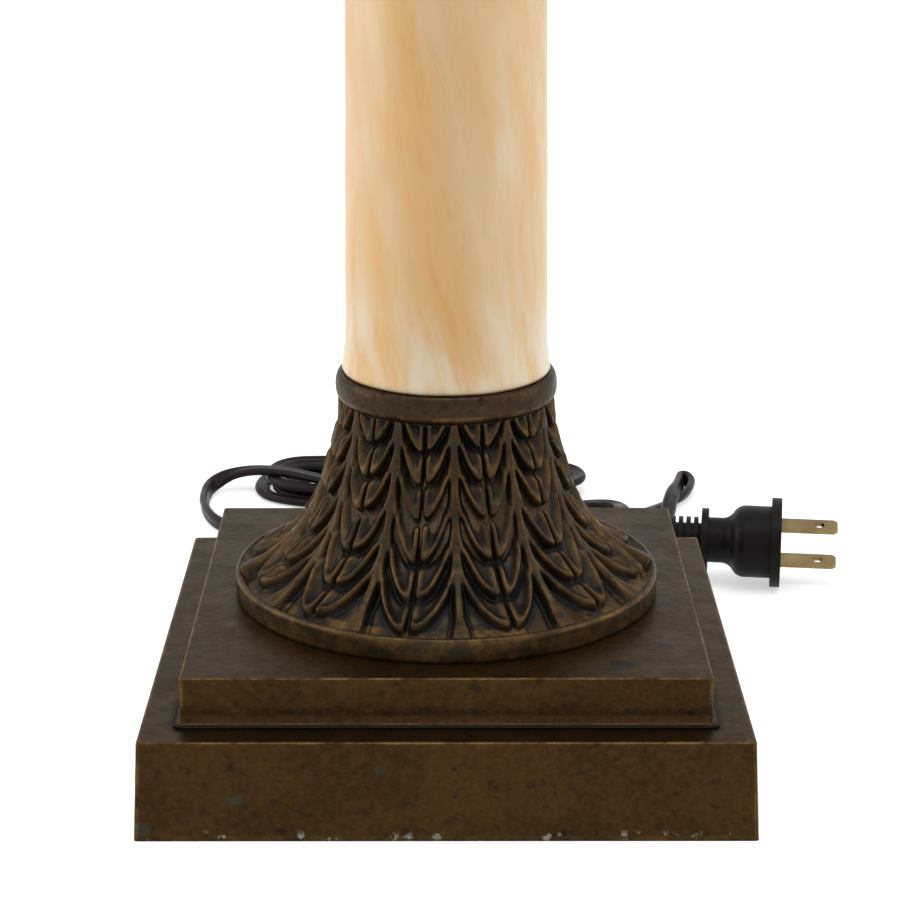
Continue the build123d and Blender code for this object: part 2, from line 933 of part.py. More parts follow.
plug_front = plug_flange_thickness
plug_body_back = -plug_body_length
plug_swell_back = plug_body_back - plug_swell_length
plug_neck_back = plug_swell_back - plug_neck_length
plug_collar_back = plug_neck_back - plug_collar_thickness
plug_back = plug_collar_back - rib_count * rib_pitch


def plug_tail_points():
    """The last corners of the lead, straight into the back of the plug."""
    entry = plug_place() * Pos(plug_back, 0, 0)
    before = plug_place() * Pos(plug_back - plug_lead_straight, 0, 0)
    return [tuple(place.position) for place in (before, entry)]


def make_cord_gland():
    """The bush in the back wall, with a tapered snout that relieves the lead."""
    bore = cord_width / 2 + gland_bore_clearance
    tip = gland_end - gland_face
    barrel_end = plinth_wall + plinth_batter + gland_straight
    flange = -gland_flange_thickness
    body = turned(
        Polyline(
            (bore, flange),
            (gland_flange_radius, flange),
            (gland_flange_radius, 0),
            (gland_barrel_radius, 0),
            (gland_barrel_radius, barrel_end),
            (gland_tip_radius, tip),
            (bore, tip),
            (bore, flange),
        )
    )
    return Pos(0, gland_face, exit_height) * Rot(-90, 0, 0) * body


def make_lead_inside():
    """The two conductors: through the gland, up the rod, to the terminals."""
    terminal_height = core_base - terminal_head_height
    conductors = []
    for side in (-1, 1):
        near = side * conductor_offset
        far = side * terminal_spread
        route = [
            (near, cord_start, exit_height),
            (near, gland_face - conductor_straight, exit_height),
            (near, gland_face / 2, conductor_low_height),
            (near, 0, conductor_low_height),
            (near, 0, rod_top + conductor_parting_rise),
            (far, 0, terminal_height - conductor_end_straight),
            (far, 0, terminal_height),
        ]
        conductors.append(inside_tube(route))
    return Compound(children=conductors)


def inside_tube(route):
    """One conductor, with arcs no larger than the lamp leaves room for."""
    corners = [Vector(*point) for point in route]
    room = rod_bottom - conductor_low_height - conductor_radius
    radii = [min(radius, room) for radius in corner_radii(corners)]
    path = FilletPolyline(*corners, radius=radii)
    start = Plane(origin=corners[0], z_dir=corners[1] - corners[0])
    return sweep(start * Circle(conductor_radius), path=path)


def make_coil():
    """The outer shape of the loose oval coil behind the lamp."""
    outer = Ellipse(coil_half_length, coil_half_depth)
    inner = Ellipse(coil_half_length - coil_band, coil_half_depth - coil_band)
    body = extrude(outer - inner, coil_height)
    body = fillet(body.edges().group_by(Axis.Z)[-1], coil_round)
    return Pos(coil_x, coil_y, 0) * body


def plug_outline():
    """The plug's outline, as (radius, distance along the plug), back to front."""
    points = [(0, plug_back)]
    for rib in range(rib_count):
        low = plug_back + rib * rib_pitch
        points += [
            (plug_neck_radius, low),
            (plug_neck_radius, low + rib_width),
            (rib_root_radius, low + rib_width),
            (rib_root_radius, low + rib_pitch),
        ]
    points += [
        (plug_collar_radius, plug_collar_back),
        (plug_collar_radius, plug_neck_back),
        (plug_neck_radius, plug_neck_back),
        (plug_neck_radius, plug_swell_back),
    ]
    return points


def make_plug_body():
    """The moulded plug, with a grip flange and a ribbed strain relief."""
    points = plug_outline()
    swell_start = points[-1]
    swell_end = (plug_body_radius, plug_body_back)
    swell_middle = (
        (plug_neck_radius + plug_body_radius) / 2,
        (plug_swell_back + plug_body_back) / 2,
    )
    body = turned(
        Polyline(*points),
        TangentArc(swell_start, swell_middle, tangent=(0, 1)),
        TangentArc(swell_end, swell_middle, tangent=(0, -1)),
        Polyline(
            swell_end,
            (plug_body_radius, 0),
            (plug_flange_radius, 0),
            (plug_flange_radius, plug_front),
            (0, plug_front),
            (0, plug_back),
        ),
    )
    body = plug_place() * Rot(0, 90, 0) * body
    return body - make_plug_blades()


def make_plug_blades():
    """The two flat blades, one over the other, with a hole near each tip."""
    blades = []
    length = blade_root + blade_length
    for side in (-1, 1):
        outline = Pos(plug_front - blade_root + length / 2, 0) * Rectangle(length, blade_width)
        corners = outline.vertices().group_by(Axis.X)[-1]
        outline = chamfer(corners, blade_tip_cut)
        hole_x = plug_front + blade_length - blade_hole_from_tip
        outline -= Pos(hole_x, 0) * Circle(blade_hole_radius)
        blade = extrude(outline, blade_thickness / 2, both=True)
        place = plug_place() * Rot(plug_roll, 0, 0) * Pos(0, 0, side * blade_pitch / 2)
        blades.append(place * blade)
    return Compound(children=blades)


# ---- All the pieces ----------------------------------------------------------------


def make_parts():
    """Every node of the lamp, by name."""
    harp = make_harp()
    washer_low = lock_washer_top
    lock_low = bottom_nut_top
    gasket_low = collar_top - gasket_let_in
    half_cord = cord_width / 2
    return {
        "lower_plinth": make_lower_plinth(),
        "felt_pad": make_felt_pad(),
        "upper_plinth": make_upper_plinth(),
        "leaf_foot": make_leaf_foot(),
        "bead_collar": make_bead_collar(),
        "column_gasket_lower": make_gasket(collar_edge_radius, gasket_low),
        "onyx_column": make_column(),
        "column_gasket_upper": make_gasket(astragal_edge_radius, column_top),
        "astragal_ring": make_astragal(),
        "capital_bell": make_capital_bell(),
        "abacus": make_abacus(),
        "tie_rod": ring(rod_radius, rod_bore, rod_bottom, rod_top),
        "bottom_washer": ring(washer_radius, thread_radius, washer_low, roof_underside),
        "lock_washer": ring(lock_washer_radius, thread_radius, lock_low, lock_washer_top),
        "bottom_nut": hex_nut(bottom_nut_top - nut_thickness),
        "top_cap": make_top_cap(),
        "neck": make_neck(),
        "top_nut": hex_nut(top_nut_base),
        "harp_saddle": make_saddle(),
        "socket_cap": make_holder_cap(),
        "set_screw": make_set_screw(),
        "socket_shell": make_socket_shell(),
        "socket_liner": make_socket_liner(),
        "socket_core": make_socket_core(),
        "screw_shell": make_screw_shell(),
        "centre_contact": make_centre_contact(),
        "terminal_screws": make_terminal_screws(),
        "switch_shaft": make_switch_shaft(),
        "switch_key": make_switch_key(),
        "harp": harp,
        "harp_stud": make_harp_stud(harp),
        "ferrule_left": make_ferrule(-1),
        "ferrule_right": make_ferrule(1),
        "finial": make_finial(),
        "cord_gland": make_cord_gland(),
        "lead_inside": make_lead_inside(),
        "cord_run": tube(run_route, half_cord, "cord_run"),
        "cord_coil": make_coil(),
        "cord_tail": tube(tail_route + plug_tail_points(), half_cord, "cord_tail"),
        "plug_body": make_plug_body(),
        "plug_blades": make_plug_blades(),
    }


for name, shape in make_parts().items():
    export_step(shape, f"parts/{name}.step")
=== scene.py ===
import math
import random

import bmesh
import bpy
import numpy as np
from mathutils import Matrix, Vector


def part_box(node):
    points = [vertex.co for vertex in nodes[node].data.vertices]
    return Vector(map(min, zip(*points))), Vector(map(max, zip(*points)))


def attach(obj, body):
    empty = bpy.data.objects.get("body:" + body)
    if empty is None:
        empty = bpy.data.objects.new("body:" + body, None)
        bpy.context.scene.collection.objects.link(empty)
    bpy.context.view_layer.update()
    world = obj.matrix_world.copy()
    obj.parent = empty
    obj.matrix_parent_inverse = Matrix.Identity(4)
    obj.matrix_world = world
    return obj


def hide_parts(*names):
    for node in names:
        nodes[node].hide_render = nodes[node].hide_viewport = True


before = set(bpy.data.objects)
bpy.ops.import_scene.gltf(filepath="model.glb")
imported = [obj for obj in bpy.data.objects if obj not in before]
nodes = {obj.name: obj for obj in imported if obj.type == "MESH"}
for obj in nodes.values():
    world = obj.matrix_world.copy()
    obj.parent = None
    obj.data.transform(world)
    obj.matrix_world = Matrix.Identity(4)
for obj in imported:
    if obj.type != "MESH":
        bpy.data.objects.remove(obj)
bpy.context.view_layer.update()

# A column table lamp in patinated bronze and onyx. Metres, +Z up, front at -Y.

plinth_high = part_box("lower_plinth")[1]
tier_low, tier_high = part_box("upper_plinth")
foot_low, foot_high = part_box("leaf_foot")
collar_low, collar_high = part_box("bead_collar")
column_low, column_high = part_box("onyx_column")
bell_low, bell_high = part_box("capital_bell")

# Heights at which a casting and its finish both change
rim_height = 0.0064
collar_bead_low = 0.0011
collar_band = 0.0019

# ---- Camera ----------------------------------------------------------

camera_place = (0, -0.6320, 0.27417)
# Degrees
camera_down = 17.3075
camera_yaw = 0.09
# Millimetres
camera_lens = 98.84
camera_sensor = 36


def make_camera():
    """The photograph's camera: in front of the column and looking down a little."""
    data = bpy.data.cameras.new("camera")
    data.lens = camera_lens
    data.sensor_width = camera_sensor
    camera = bpy.data.objects.new("camera", data)
    camera.location = camera_place
    turn = (math.radians(90 - camera_down), 0, -math.radians(camera_yaw))
    camera.rotation_euler = turn
    bpy.context.collection.objects.link(camera)
    bpy.context.scene.camera = camera


make_camera()

# ---- Node materials --------------------------------------------------


class Paint:
    """A material that is built one node at a time."""

    def __init__(self, name):
        self.material = bpy.data.materials.new(name)
        self.material.use_nodes = True
        self.tree = self.material.node_tree
        self.tree.nodes.clear()
        self.place = self.node("ShaderNodeTexCoord").outputs["Object"]

    def node(self, kind, **settings):
        made = self.tree.nodes.new(kind)
        for name, value in settings.items():
            setattr(made, name, value)
        return made

    def feed(self, socket, value):
        """Link a socket, or set it to a number, a vector or a colour."""
        if isinstance(value, bpy.types.NodeSocket):
            self.tree.links.new(value, socket)
        elif socket.type == "RGBA" and len(value) == 3:
            socket.default_value = (*value, 1)
        else:
            socket.default_value = value

    def math(self, operation, first, second):
        made = self.node("ShaderNodeMath", operation=operation)
        self.feed(made.inputs[0], first)
        self.feed(made.inputs[1], second)
        return made.outputs[0]

    def times(self, first, second):
        return self.math("MULTIPLY", first, second)

    def stretch(self, scale, turn=(0, 0, 0), place=None):
        """The place on the piece, turned and then scaled along each axis."""
        turned = self.node("ShaderNodeMapping")
        self.feed(turned.inputs["Vector"], place or self.place)
        self.feed(turned.inputs["Rotation"], [math.radians(a) for a in turn])
        scaled = self.node("ShaderNodeMapping")
        self.feed(scaled.inputs["Vector"], turned.outputs[0])
        self.feed(scaled.inputs["Scale"], scale)
        return scaled.outputs[0]

    def noise(self, size, detail=3.0, rough=0.5, warp=0.0, place=None):
        """Cloudy noise whose patches are about size metres across."""
        made = self.node("ShaderNodeTexNoise")
        self.feed(made.inputs["Vector"], place or self.place)
        self.feed(made.inputs["Scale"], 1 / size)
        self.feed(made.inputs["Detail"], detail)
        self.feed(made.inputs["Roughness"], rough)
        self.feed(made.inputs["Distortion"], warp)
        return made.outputs["Fac"]

    def band(self, value, low, high, to_low=0.0, to_high=1.0):
        """Value from low to high, as a smooth number from to_low to to_high."""
        made = self.node("ShaderNodeMapRange", interpolation_type="SMOOTHSTEP")
        for socket, number in zip(made.inputs, (value, low, high, to_low, to_high)):
            self.feed(socket, number)
        return made.outputs[0]

    def ramp(self, value, *stops):
        """A colour ramp with stops of (position, colour)."""
        made = self.node("ShaderNodeValToRGB")
        while len(made.color_ramp.elements) < len(stops):
            made.color_ramp.elements.new(0.5)
        for element, (position, colour) in zip(made.color_ramp.elements, stops):
            element.position = position
            element.color = (*colour, 1)
        self.feed(made.inputs["Fac"], value)
        return made.outputs["Color"]

    def mix(self, share, first, second):
        """The first colour where share is 0, and the second where it is 1."""
        made = self.node("ShaderNodeMix", data_type="RGBA")
        sockets = (made.inputs[0], *made.inputs[6:8])
        for socket, value in zip(sockets, (share, first, second)):
            self.feed(socket, value)
        return made.outputs[2]

    def attribute(self, name):
        return self.node("ShaderNodeAttribute", attribute_name=name).outputs["Fac"]

    def height(self):
        """Height above the table."""
        split = self.node("ShaderNodeSeparateXYZ")
        self.feed(split.inputs[0], self.place)
        return split.outputs["Z"]

    def bump(self, height, depth, below=None):
        """Relief up to depth metres high, over any relief below."""
        made = self.node("ShaderNodeBump")
        self.feed(made.inputs["Height"], height)
        self.feed(made.inputs["Distance"], depth)
        if below:
            self.feed(made.inputs["Normal"], below)
        return made.outputs[0]

    def finish(self, **sockets):
        """Join everything in one shader. Underscores stand for spaces."""
        shader = self.node("ShaderNodeBsdfPrincipled")
        for name, value in sockets.items():
            self.feed(shader.inputs[name.replace("_", " ")], value)
        output = self.node("ShaderNodeOutputMaterial")
        self.tree.links.new(shader.outputs[0], output.inputs["Surface"])
        return self.material


# ---- Meshes ----------------------------------------------------------


def grid_piece(name, rows, body, slot, material, closed_ends=False, **values):
    """A piece whose surface is a grid of points, joined round each row.

    rows is an array of rows, each a closed ring of points. The rows run on from one
    another, and the last joins the first unless closed_ends caps both with a face.
    values are numbers for each point, kept on the mesh for its material.
    """
    rows = np.asarray(rows, float)
    count, around = rows.shape[:2]
    number = np.arange(count * around).reshape(count, around)
    here = number[:-1] if closed_ends else number
    above = number[1:] if closed_ends else np.roll(number, -1, axis=0)
    corners = (here, np.roll(here, -1, axis=1), np.roll(above, -1, axis=1), above)
    faces = np.stack(corners, axis=-1).reshape(-1, 4).tolist()
    if closed_ends:
        faces += [number[0][::-1].tolist(), number[-1].tolist()]
    mesh = bpy.data.meshes.new(name)
    mesh.from_pydata(rows.reshape(-1, 3).tolist(), [], faces)
    for key, numbers in values.items():
        layer = mesh.attributes.new(key, "FLOAT", "POINT")
        layer.data.foreach_set("value", np.ravel(numbers).astype(np.float32))
    shell = bmesh.new()
    shell.from_mesh(mesh)
    bmesh.ops.recalc_face_normals(shell, faces=shell.faces)
    shell.to_mesh(mesh)
    shell.free()
    mesh.shade_smooth()
    mesh.materials.append(material)
    piece = bpy.data.objects.new(name, mesh)
    bpy.context.collection.objects.link(piece)
    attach(piece, body)
    return piece


def casting(name, rows, material, **values):
    """A piece of patinated bronze that stays with the lamp."""
    return grid_piece(name, rows, "lamp", "patinated_bronze", material, **values)


def ripple(around, along, seed, waves=6):
    """Smooth unevenness from about -1 to 1 that closes on itself all round."""
    pick = random.Random(seed)
    total = 0
    for wave in range(waves):
        turns = pick.randint(1, 4 + 2 * wave)
        rate = pick.uniform(-1, 1) * (20 + 25 * wave)
        phase = pick.uniform(0, 2 * math.pi)
        total = total + np.sin(turns * around + 2 * math.pi * rate * along + phase)
    return total / waves


round_points = 128


def angles_of(count):
    """Angles round the lamp's axis, from the front, turning towards +X."""
    return np.linspace(0, 2 * math.pi, count, endpoint=False)


def turned_rows(profile, angles, out=0.0):
    """Rows of points for a profile of (radius, height) pushed out by out."""
    profile = np.asarray(profile, float)
    step = np.gradient(profile, axis=0)
    length = np.hypot(step[:, 0], step[:, 1])[:, None]
    away = np.stack((np.abs(step[:, 1]), -step[:, 0] * np.sign(step[:, 1])), axis=-1)
    away /= np.maximum(length, 1e-9)
    out = np.broadcast_to(out, (len(profile), len(angles)))
    radius = profile[:, :1] + away[:, :1] * out
    height = profile[:, 1:] + away[:, 1:] * out
    places = (radius * np.sin(angles), -radius * np.cos(angles), height)
    return np.stack(places, axis=-1)


def smooth_step(value, low, high):
    """0 up to low and 1 from high on, with a smooth rise between."""
    share = np.clip((value - low) / (high - low), 0, 1)
    return share * share * (3 - 2 * share)


# ---- Route of the mains lead -----------------------------------------

cord_width = 0.0053
cord_thickness = 0.0027
# A flat lead lies lower on the table than a round one of its width.
cord_drop = (cord_width - cord_thickness) / 2
rest = cord_width / 2
exit_height = 0.010 + cord_drop
plug_height = 0.0141 + cord_drop
spline_steps = 8

# Places of the lead's middle, as if it were round, and its roll in degrees, which
# is 0 where it lies flat. At the height rest it lies on the table.
# From the gland, round the loose loop at the left, to the coil
run_route = [
    (0, 0.0762, exit_height, 0), (0, 0.1042, exit_height, 0),
    (-0.008, 0.131, 0.0048, 0), (-0.032, 0.139, rest, -20),
    (-0.057, 0.141, rest, -60), (-0.076, 0.153, rest, -80),
    (-0.0835, 0.172, rest, -82), (-0.0842, 0.190, rest, -76),
    (-0.0822, 0.1985, 0.0034, -52), (-0.0765, 0.2018, 0.0064, -22),
    (-0.068, 0.1995, 0.0090, -5), (-0.058, 0.1955, 0.0099, 0),
    (-0.047, 0.1890, 0.0098, 0),
]

# From the coil, through a curl and the tight loop at the right, to the plug
tail_route = [
    (0.031, 0.1746, rest, 8), (0.042, 0.1775, rest, 5),
    (0.05, 0.1798, rest, 0), (0.0555, 0.1804, rest, 0),
    (0.0592, 0.1772, 0.003, 0), (0.0605, 0.168, 0.0046, 0),
    (0.0605, 0.156, 0.0038, 0), (0.055, 0.1445, rest, 20),
    (0.046, 0.1405, rest, 60), (0.036, 0.145, rest, 70),
    (0.033, 0.155, rest, 70), (0.0385, 0.162, rest, 40),
    (0.049, 0.1628, rest, 0), (0.058, 0.1634, rest, 5),
    (0.065, 0.167, rest, 8), (0.071, 0.1728, rest, 12),
    (0.0763, 0.1783, rest, 22), (0.0809, 0.1837, rest, 42),
    (0.084, 0.1895, rest, 60), (0.0859, 0.1958, rest, 68),
    (0.0864, 0.201, 0.0028, 72), (0.0854, 0.2049, 0.0029, 76),
    (0.0835, 0.205, 0.003, 76), (0.0828, 0.2013, 0.003, 74),
    (0.0817, 0.195, 0.0033, 66), (0.0804, 0.1885, 0.0044, 52),
    (0.0788, 0.1815, 0.0058, 42), (0.0772, 0.1745, 0.0058, 36),
    (0.075, 0.163, 0.004, 20), (0.072, 0.15, rest, 0),
    (0.067, 0.138, rest, 0), (0.059, 0.13, rest, 20),
    (0.047, 0.127, rest, 30), (0.034, 0.128, rest, 50),
    (0.0245, 0.124, rest, 60), (0.021, 0.1155, 0.003, 60),
    (0.027, 0.109, 0.0054, 30), (0.039, 0.1108, 0.0106, 10),
    (0.0545, 0.11073, plug_height, 0), (0.06888, 0.10887, plug_height, 0),
]

# The coil, a layer inwards on top and then one outwards on the table: the turns
# made, and there its half length, half depth, height and roll
coil_stages = [
    (0, 0.053, 0.020, 0.0088, 5),
    (0.3, 0.0565, 0.022, 0.00625, 20),
    (1.95, 0.0495, 0.0145, 0.00625, 20),
    (2.5, 0.045, 0.011, rest, 20),
    (5.13, 0.0574, 0.022, rest, 8),
]
coil_start = math.radians(-118)
coil_steps = 82
coil_steps_a_turn = 16
coil_middle = (-0.0092, 0.198)
# How far the turns' middle wanders, and how fast
coil_sway = (0.001, 0.0008)
coil_sway_rate = (2.3, 1.7)
# Shape of the coil's long sides: flatter at the back, with a full left corner
back_share = 0.75
back_power = 0.5
front_power = 0.8
corner_swell = 0.16
corner_rise = 2.5


def coil_route():
    """The coil's turns, each a little off from the last, with a blunt back corner."""
    turns, *courses = zip(*coil_stages)
    points = []
    for step in range(coil_steps + 1):
        turn = step / coil_steps_a_turn
        angle = coil_start + 2 * math.pi * turn
        half_length, half_depth, height, roll = (
            np.interp(turn, turns, course) for course in courses
        )
        wander = coil_sway[0] * math.sin(coil_sway_rate[0] * turn)
        aside = wander + half_length * math.cos(angle)
        sine = math.sin(angle)
        if sine > 0:
            swell = corner_swell * min(1, corner_rise * sine) * max(-aside, 0)
            depth = back_share * half_depth * sine**back_power + swell
        else:
            depth = -half_depth * abs(sine) ** front_power
        wander = coil_sway[1] * math.cos(coil_sway_rate[1] * turn)
        place = (aside + coil_middle[0], coil_middle[1] + wander + depth)
        points.append((*place, height, roll))
    return points


def smooth_line(points):
    """Points along the smooth line of a spline through a row of points."""
    data = bpy.data.curves.new("lead_line", "CURVE")
    data.dimensions = "3D"
    spline = data.splines.new("NURBS")
    spline.points.add(len(points) - 1)
    for point, place in zip(spline.points, points):
        point.co = (*place, 1)
    spline.order_u = 3
    spline.use_endpoint_u = True
    spline.resolution_u = spline_steps
    curve = bpy.data.objects.new("lead_line", data)
    mesh = bpy.data.meshes.new_from_object(curve)
    line = np.array([vertex.co for vertex in mesh.vertices])
    bpy.data.meshes.remove(mesh)
    bpy.data.objects.remove(curve)
    bpy.data.curves.remove(data)
    return line


def cord_line():
    """Points along the lead's middle, and its roll at each."""
    route = run_route + coil_route() + tail_route
    line = smooth_line([row[:3] for row in route])
    roll = smooth_line([(math.radians(row[3]), 0, 0) for row in route])[:, 0]
    line[:, 2] -= cord_drop * (1 - np.abs(np.sin(roll)))
    return line, roll


# ---- Mains lead ------------------------------------------------------

lobe_points = 10
lobe_half_arc = math.radians(118)


def cord_section():
    """The outline of flat twin flex: two round lobes side by side."""
    lobe = cord_thickness / 2
    apart = cord_width / 2 - lobe
    sweep = np.linspace(-lobe_half_arc, lobe_half_arc, lobe_points)
    right = np.stack((apart + lobe * np.cos(sweep), lobe * np.sin(sweep)), axis=-1)
    return np.concatenate((right, -right))


def cord_rows(line, roll):
    """The section set square to the line, and rolled about it."""
    along = np.gradient(line, axis=0)
    along /= np.linalg.norm(along, axis=1)[:, None]
    side = np.cross(along, (0, 0, 1))
    side /= np.linalg.norm(side, axis=1)[:, None]
    up = np.cross(side, along)
    cos, sin = np.cos(roll)[:, None], np.sin(roll)[:, None]
    side, up = cos * side + sin * up, cos * up - sin * side
    section = cord_section()
    across = section[:, :1] * side[:, None]
    return line[:, None] + across + section[:, 1:] * up[:, None]


def vinyl(name, dark, light, rough, grain):
    """Moulded vinyl with a faint cloudy bloom and fine grain."""
    paint = Paint(name)
    bloom = paint.noise(0.012, detail=4)
    colour = paint.ramp(bloom, (0.3, dark), (0.75, light))
    gloss = paint.band(paint.noise(0.006), 0.3, 0.7, rough - 0.06, rough + 0.08)
    relief = paint.bump(paint.noise(grain, detail=2), 0.00004)
    return paint.finish(
        Base_Color=colour, Roughness=gloss, Normal=relief, Specular_IOR_Level=0.10
    )


cord_vinyl = vinyl(
    "cord_vinyl", (0.010, 0.0068, 0.0066), (0.019, 0.0132, 0.0125), 0.34, 0.0006
)
plug_vinyl = vinyl(
    "plug_vinyl", (0.006, 0.0042, 0.0038), (0.011, 0.0078, 0.0068), 0.42, 0.0004
)


def make_cord():
    """The flat twin lead, from the gland to the plug."""
    line, roll = cord_line()
    rows = cord_rows(line, roll)
    cord = grid_piece(
        "mains_lead", rows, "lamp", "cord_vinyl", cord_vinyl, closed_ends=True
    )
    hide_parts("cord_run", "cord_coil", "cord_tail")


make_cord()

# ---- Metal materials -------------------------------------------------

warm_fleck = (0.075, 0.042, 0.016)
dark_patina = (0.016, 0.011, 0.007)
green_patina = (0.028, 0.040, 0.026)
# Colours of the darkened hollows: dirt and painted shade in seams, coves, creases and
# carving
hollow_dirt_and_shade = (0.012, 0.012, 0.012)
groove_dirt_and_shade = (0.0125, 0.0138, 0.0152)
worn_gold = (0.17, 0.098, 0.030)
worn_brown = (0.088, 0.050, 0.019)
plaster_crumbs = (0.30, 0.28, 0.23)
stain_middle = (0.0442, -0.0570, tier_high.z)

# Spots of tarnish: the noise's size, detail and roughness, where spots start and
# where they are full, how strong they get, and their colour
tarnish = [
    (0.0019, 3, 0.5, 0.58, 0.70, 0.6, dark_patina),
    (0.0042, 2, 0.4, 0.66, 0.74, 0.75, dark_patina),
    (0.0075, 2, 0.3, 0.71, 0.77, 0.6, green_patina),
]


def stripe_share(paint, stripe, patchy):
    """How far a band of heights is worn to gold, in patches."""
    low, high = stripe
    height = paint.height()
    above = paint.band(height, low - 0.0002, low + 0.0002)
    below = paint.band(height, high - 0.0003, high + 0.0002, 1.0, 0.0)
    patches = paint.band(patchy, 0.2, 1.0, 0.05, 0.55)
    return paint.times(paint.times(above, below), patches)


def stain_share(paint):
    """How dark the oval stain on the tier's top is at each place."""
    moved = paint.node("ShaderNodeMapping")
    paint.feed(moved.inputs["Vector"], paint.place)
    paint.feed(moved.inputs["Location"], [-place for place in stain_middle])
    oval = paint.node("ShaderNodeVectorMath", operation="LENGTH")
    paint.feed(oval.inputs[0], paint.stretch((1, 1.1, 4), place=moved.outputs[0]))
    ragged = paint.band(paint.noise(0.004, detail=3), 0.3, 0.7, -0.0012, 0.0012)
    away = paint.math("ADD", oval.outputs["Value"], ragged)
    return paint.band(away, 0.0026, 0.0044, 0.95, 0.0)


def crumb_share(paint):
    """How thickly plaster crumbs lie along the plinth's foot."""
    crumbs = paint.noise(0.0065, detail=4, rough=0.7)
    near_floor = paint.band(paint.height(), 0.0006, 0.0034, 1.0, 0.0)
    return paint.times(paint.band(crumbs, 0.56, 0.64, 0.0, 0.85), near_floor)


def bronze(name, face, shade, rubbed, dirt_and_shade, stripe=None, spilt=False):
    """Brown patinated bronze, worn on its edges, and dirty and darkened as painted
    shade in its hollows.

    face and shade are its cloudy browns, and rubbed and dirt are what its edges and
    hollows show, the hollows with dirt and painted shade. stripe is a band of heights
    (low, high) that is worn to gold.
    spilt adds the stain on the tier and the plaster crumbs along the plinth's foot.
    """
    paint = Paint(name)
    cloud = paint.noise(0.022, detail=6, rough=0.62, warp=0.4)
    fine = paint.noise(0.0016, detail=4, rough=0.7)
    colour = paint.mix(paint.band(cloud, 0.32, 0.68), shade, face)
    colour = paint.mix(paint.band(fine, 0.35, 0.75, 0.0, 0.45), colour, warm_fleck)
    for size, detail, rough, start, full, most, tone in tarnish:
        spots = paint.noise(size, detail=detail, rough=rough)
        colour = paint.mix(paint.band(spots, start, full, 0.0, most), colour, tone)
    # Hollows darkened towards the hollow colour: dirt and painted shade
    hollow = paint.attribute("hollow")
    dusty_and_shaded = paint.times(hollow, paint.band(fine, 0.2, 0.6, 0.6, 1.0))
    colour = paint.mix(dusty_and_shaded, colour, dirt_and_shade)
    patchy = paint.band(paint.noise(0.007, detail=5, rough=0.7), 0.36, 0.66)
    if stripe:
        colour = paint.mix(stripe_share(paint, stripe, patchy), colour, worn_gold)
    worn = paint.times(paint.attribute("wear"), patchy)
    colour = paint.mix(worn, colour, rubbed)
    if spilt:
        colour = paint.mix(stain_share(paint), colour, dark_patina)
        colour = paint.mix(crumb_share(paint), colour, plaster_crumbs)
    gloss = paint.band(paint.noise(0.009, detail=5, rough=0.7), 0.3, 0.7, 0.30, 0.46)
    gloss = paint.math("ADD", gloss, paint.times(hollow, 0.15))
    relief = paint.bump(paint.noise(0.0045, detail=4), 0.00018)
    relief = paint.bump(fine, 0.00005, relief)
    return paint.finish(
        Base_Color=colour,
        Roughness=gloss,
        Normal=relief,
        Metallic=0.8,
        Specular_IOR_Level=0.15,
        Specular_Tint=(0.72, 0.70, 0.68, 1),
    )


def metal(name, dark, light, rough, streak=1.0):
    """Polished or plated metal with faint rub marks and clouded lacquer."""
    paint = Paint(name)
    cloud = paint.noise(0.010, detail=5, rough=0.6)
    rubs = paint.noise(0.0007, detail=2, place=paint.stretch((1, 1, 1 / streak)))
    colour = paint.ramp(cloud, (0.32, dark), (0.7, light))
    colour = paint.mix(paint.band(rubs, 0.3, 0.75, 0.0, 0.22), colour, dark)
    gloss = paint.band(cloud, 0.3, 0.7, rough + 0.08, rough - 0.04)
    relief = paint.bump(rubs, 0.000015)
    return paint.finish(
        Base_Color=colour, Roughness=gloss, Normal=relief, Metallic=1.0
    )


leaf_bronze = bronze(
    "leaf_bronze",
    face=(0.040, 0.027, 0.0155),
    shade=(0.026, 0.021, 0.016),
    rubbed=worn_brown,
    dirt_and_shade=groove_dirt_and_shade,
    stripe=(foot_low.z, foot_low.z + rim_height),
)
plinth_bronze = bronze(
    "plinth_bronze",
    face=(0.042, 0.0215, 0.0062),
    shade=(0.029, 0.015, 0.0048),
    rubbed=worn_gold,
    dirt_and_shade=hollow_dirt_and_shade,
    spilt=True,
)
collar_edge_low = collar_low.z + collar_bead_low
collar_bronze = bronze(
    "collar_bronze",
    face=(0.042, 0.027, 0.015),
    shade=(0.028, 0.019, 0.012),
    rubbed=worn_gold,
    dirt_and_shade=hollow_dirt_and_shade,
    stripe=(collar_edge_low, collar_edge_low + collar_band),
)
plain_bronze = bronze(
    "plain_bronze",
    face=(0.050, 0.031, 0.015),
    shade=(0.032, 0.021, 0.012),
    rubbed=worn_gold,
    dirt_and_shade=hollow_dirt_and_shade,
)
lacquered_brass = metal(
    "lacquered_brass", (0.38, 0.24, 0.07), (0.62, 0.42, 0.15), 0.26
)
contact_brass = metal("contact_brass", (0.44, 0.28, 0.10), (0.66, 0.45, 0.18), 0.32)
blade_brass = metal(
    "blade_brass", (0.19, 0.138, 0.058), (0.32, 0.235, 0.10), 0.32, streak=0.1
)
zinc_steel = metal("zinc_plated_steel", (0.36, 0.36, 0.35), (0.60, 0.60, 0.58), 0.36)

# ---- Stone, felt and insulators --------------------------------------

onyx_cream = (0.80, 0.63, 0.40)
onyx_honey = (0.76, 0.515, 0.26)
onyx_amber = (0.76, 0.455, 0.18)
onyx_peach = (0.80, 0.43, 0.16)
onyx_milk = (0.80, 0.70, 0.54)
onyx_rust = (0.74, 0.37, 0.12)
onyx_ivory = (0.80, 0.73, 0.56)
onyx_tan = (0.78, 0.50, 0.24)
# Heights over which the pale colour of the column's foot fades away
pale_foot = (column_low.z + 0.004, column_low.z + 0.034)


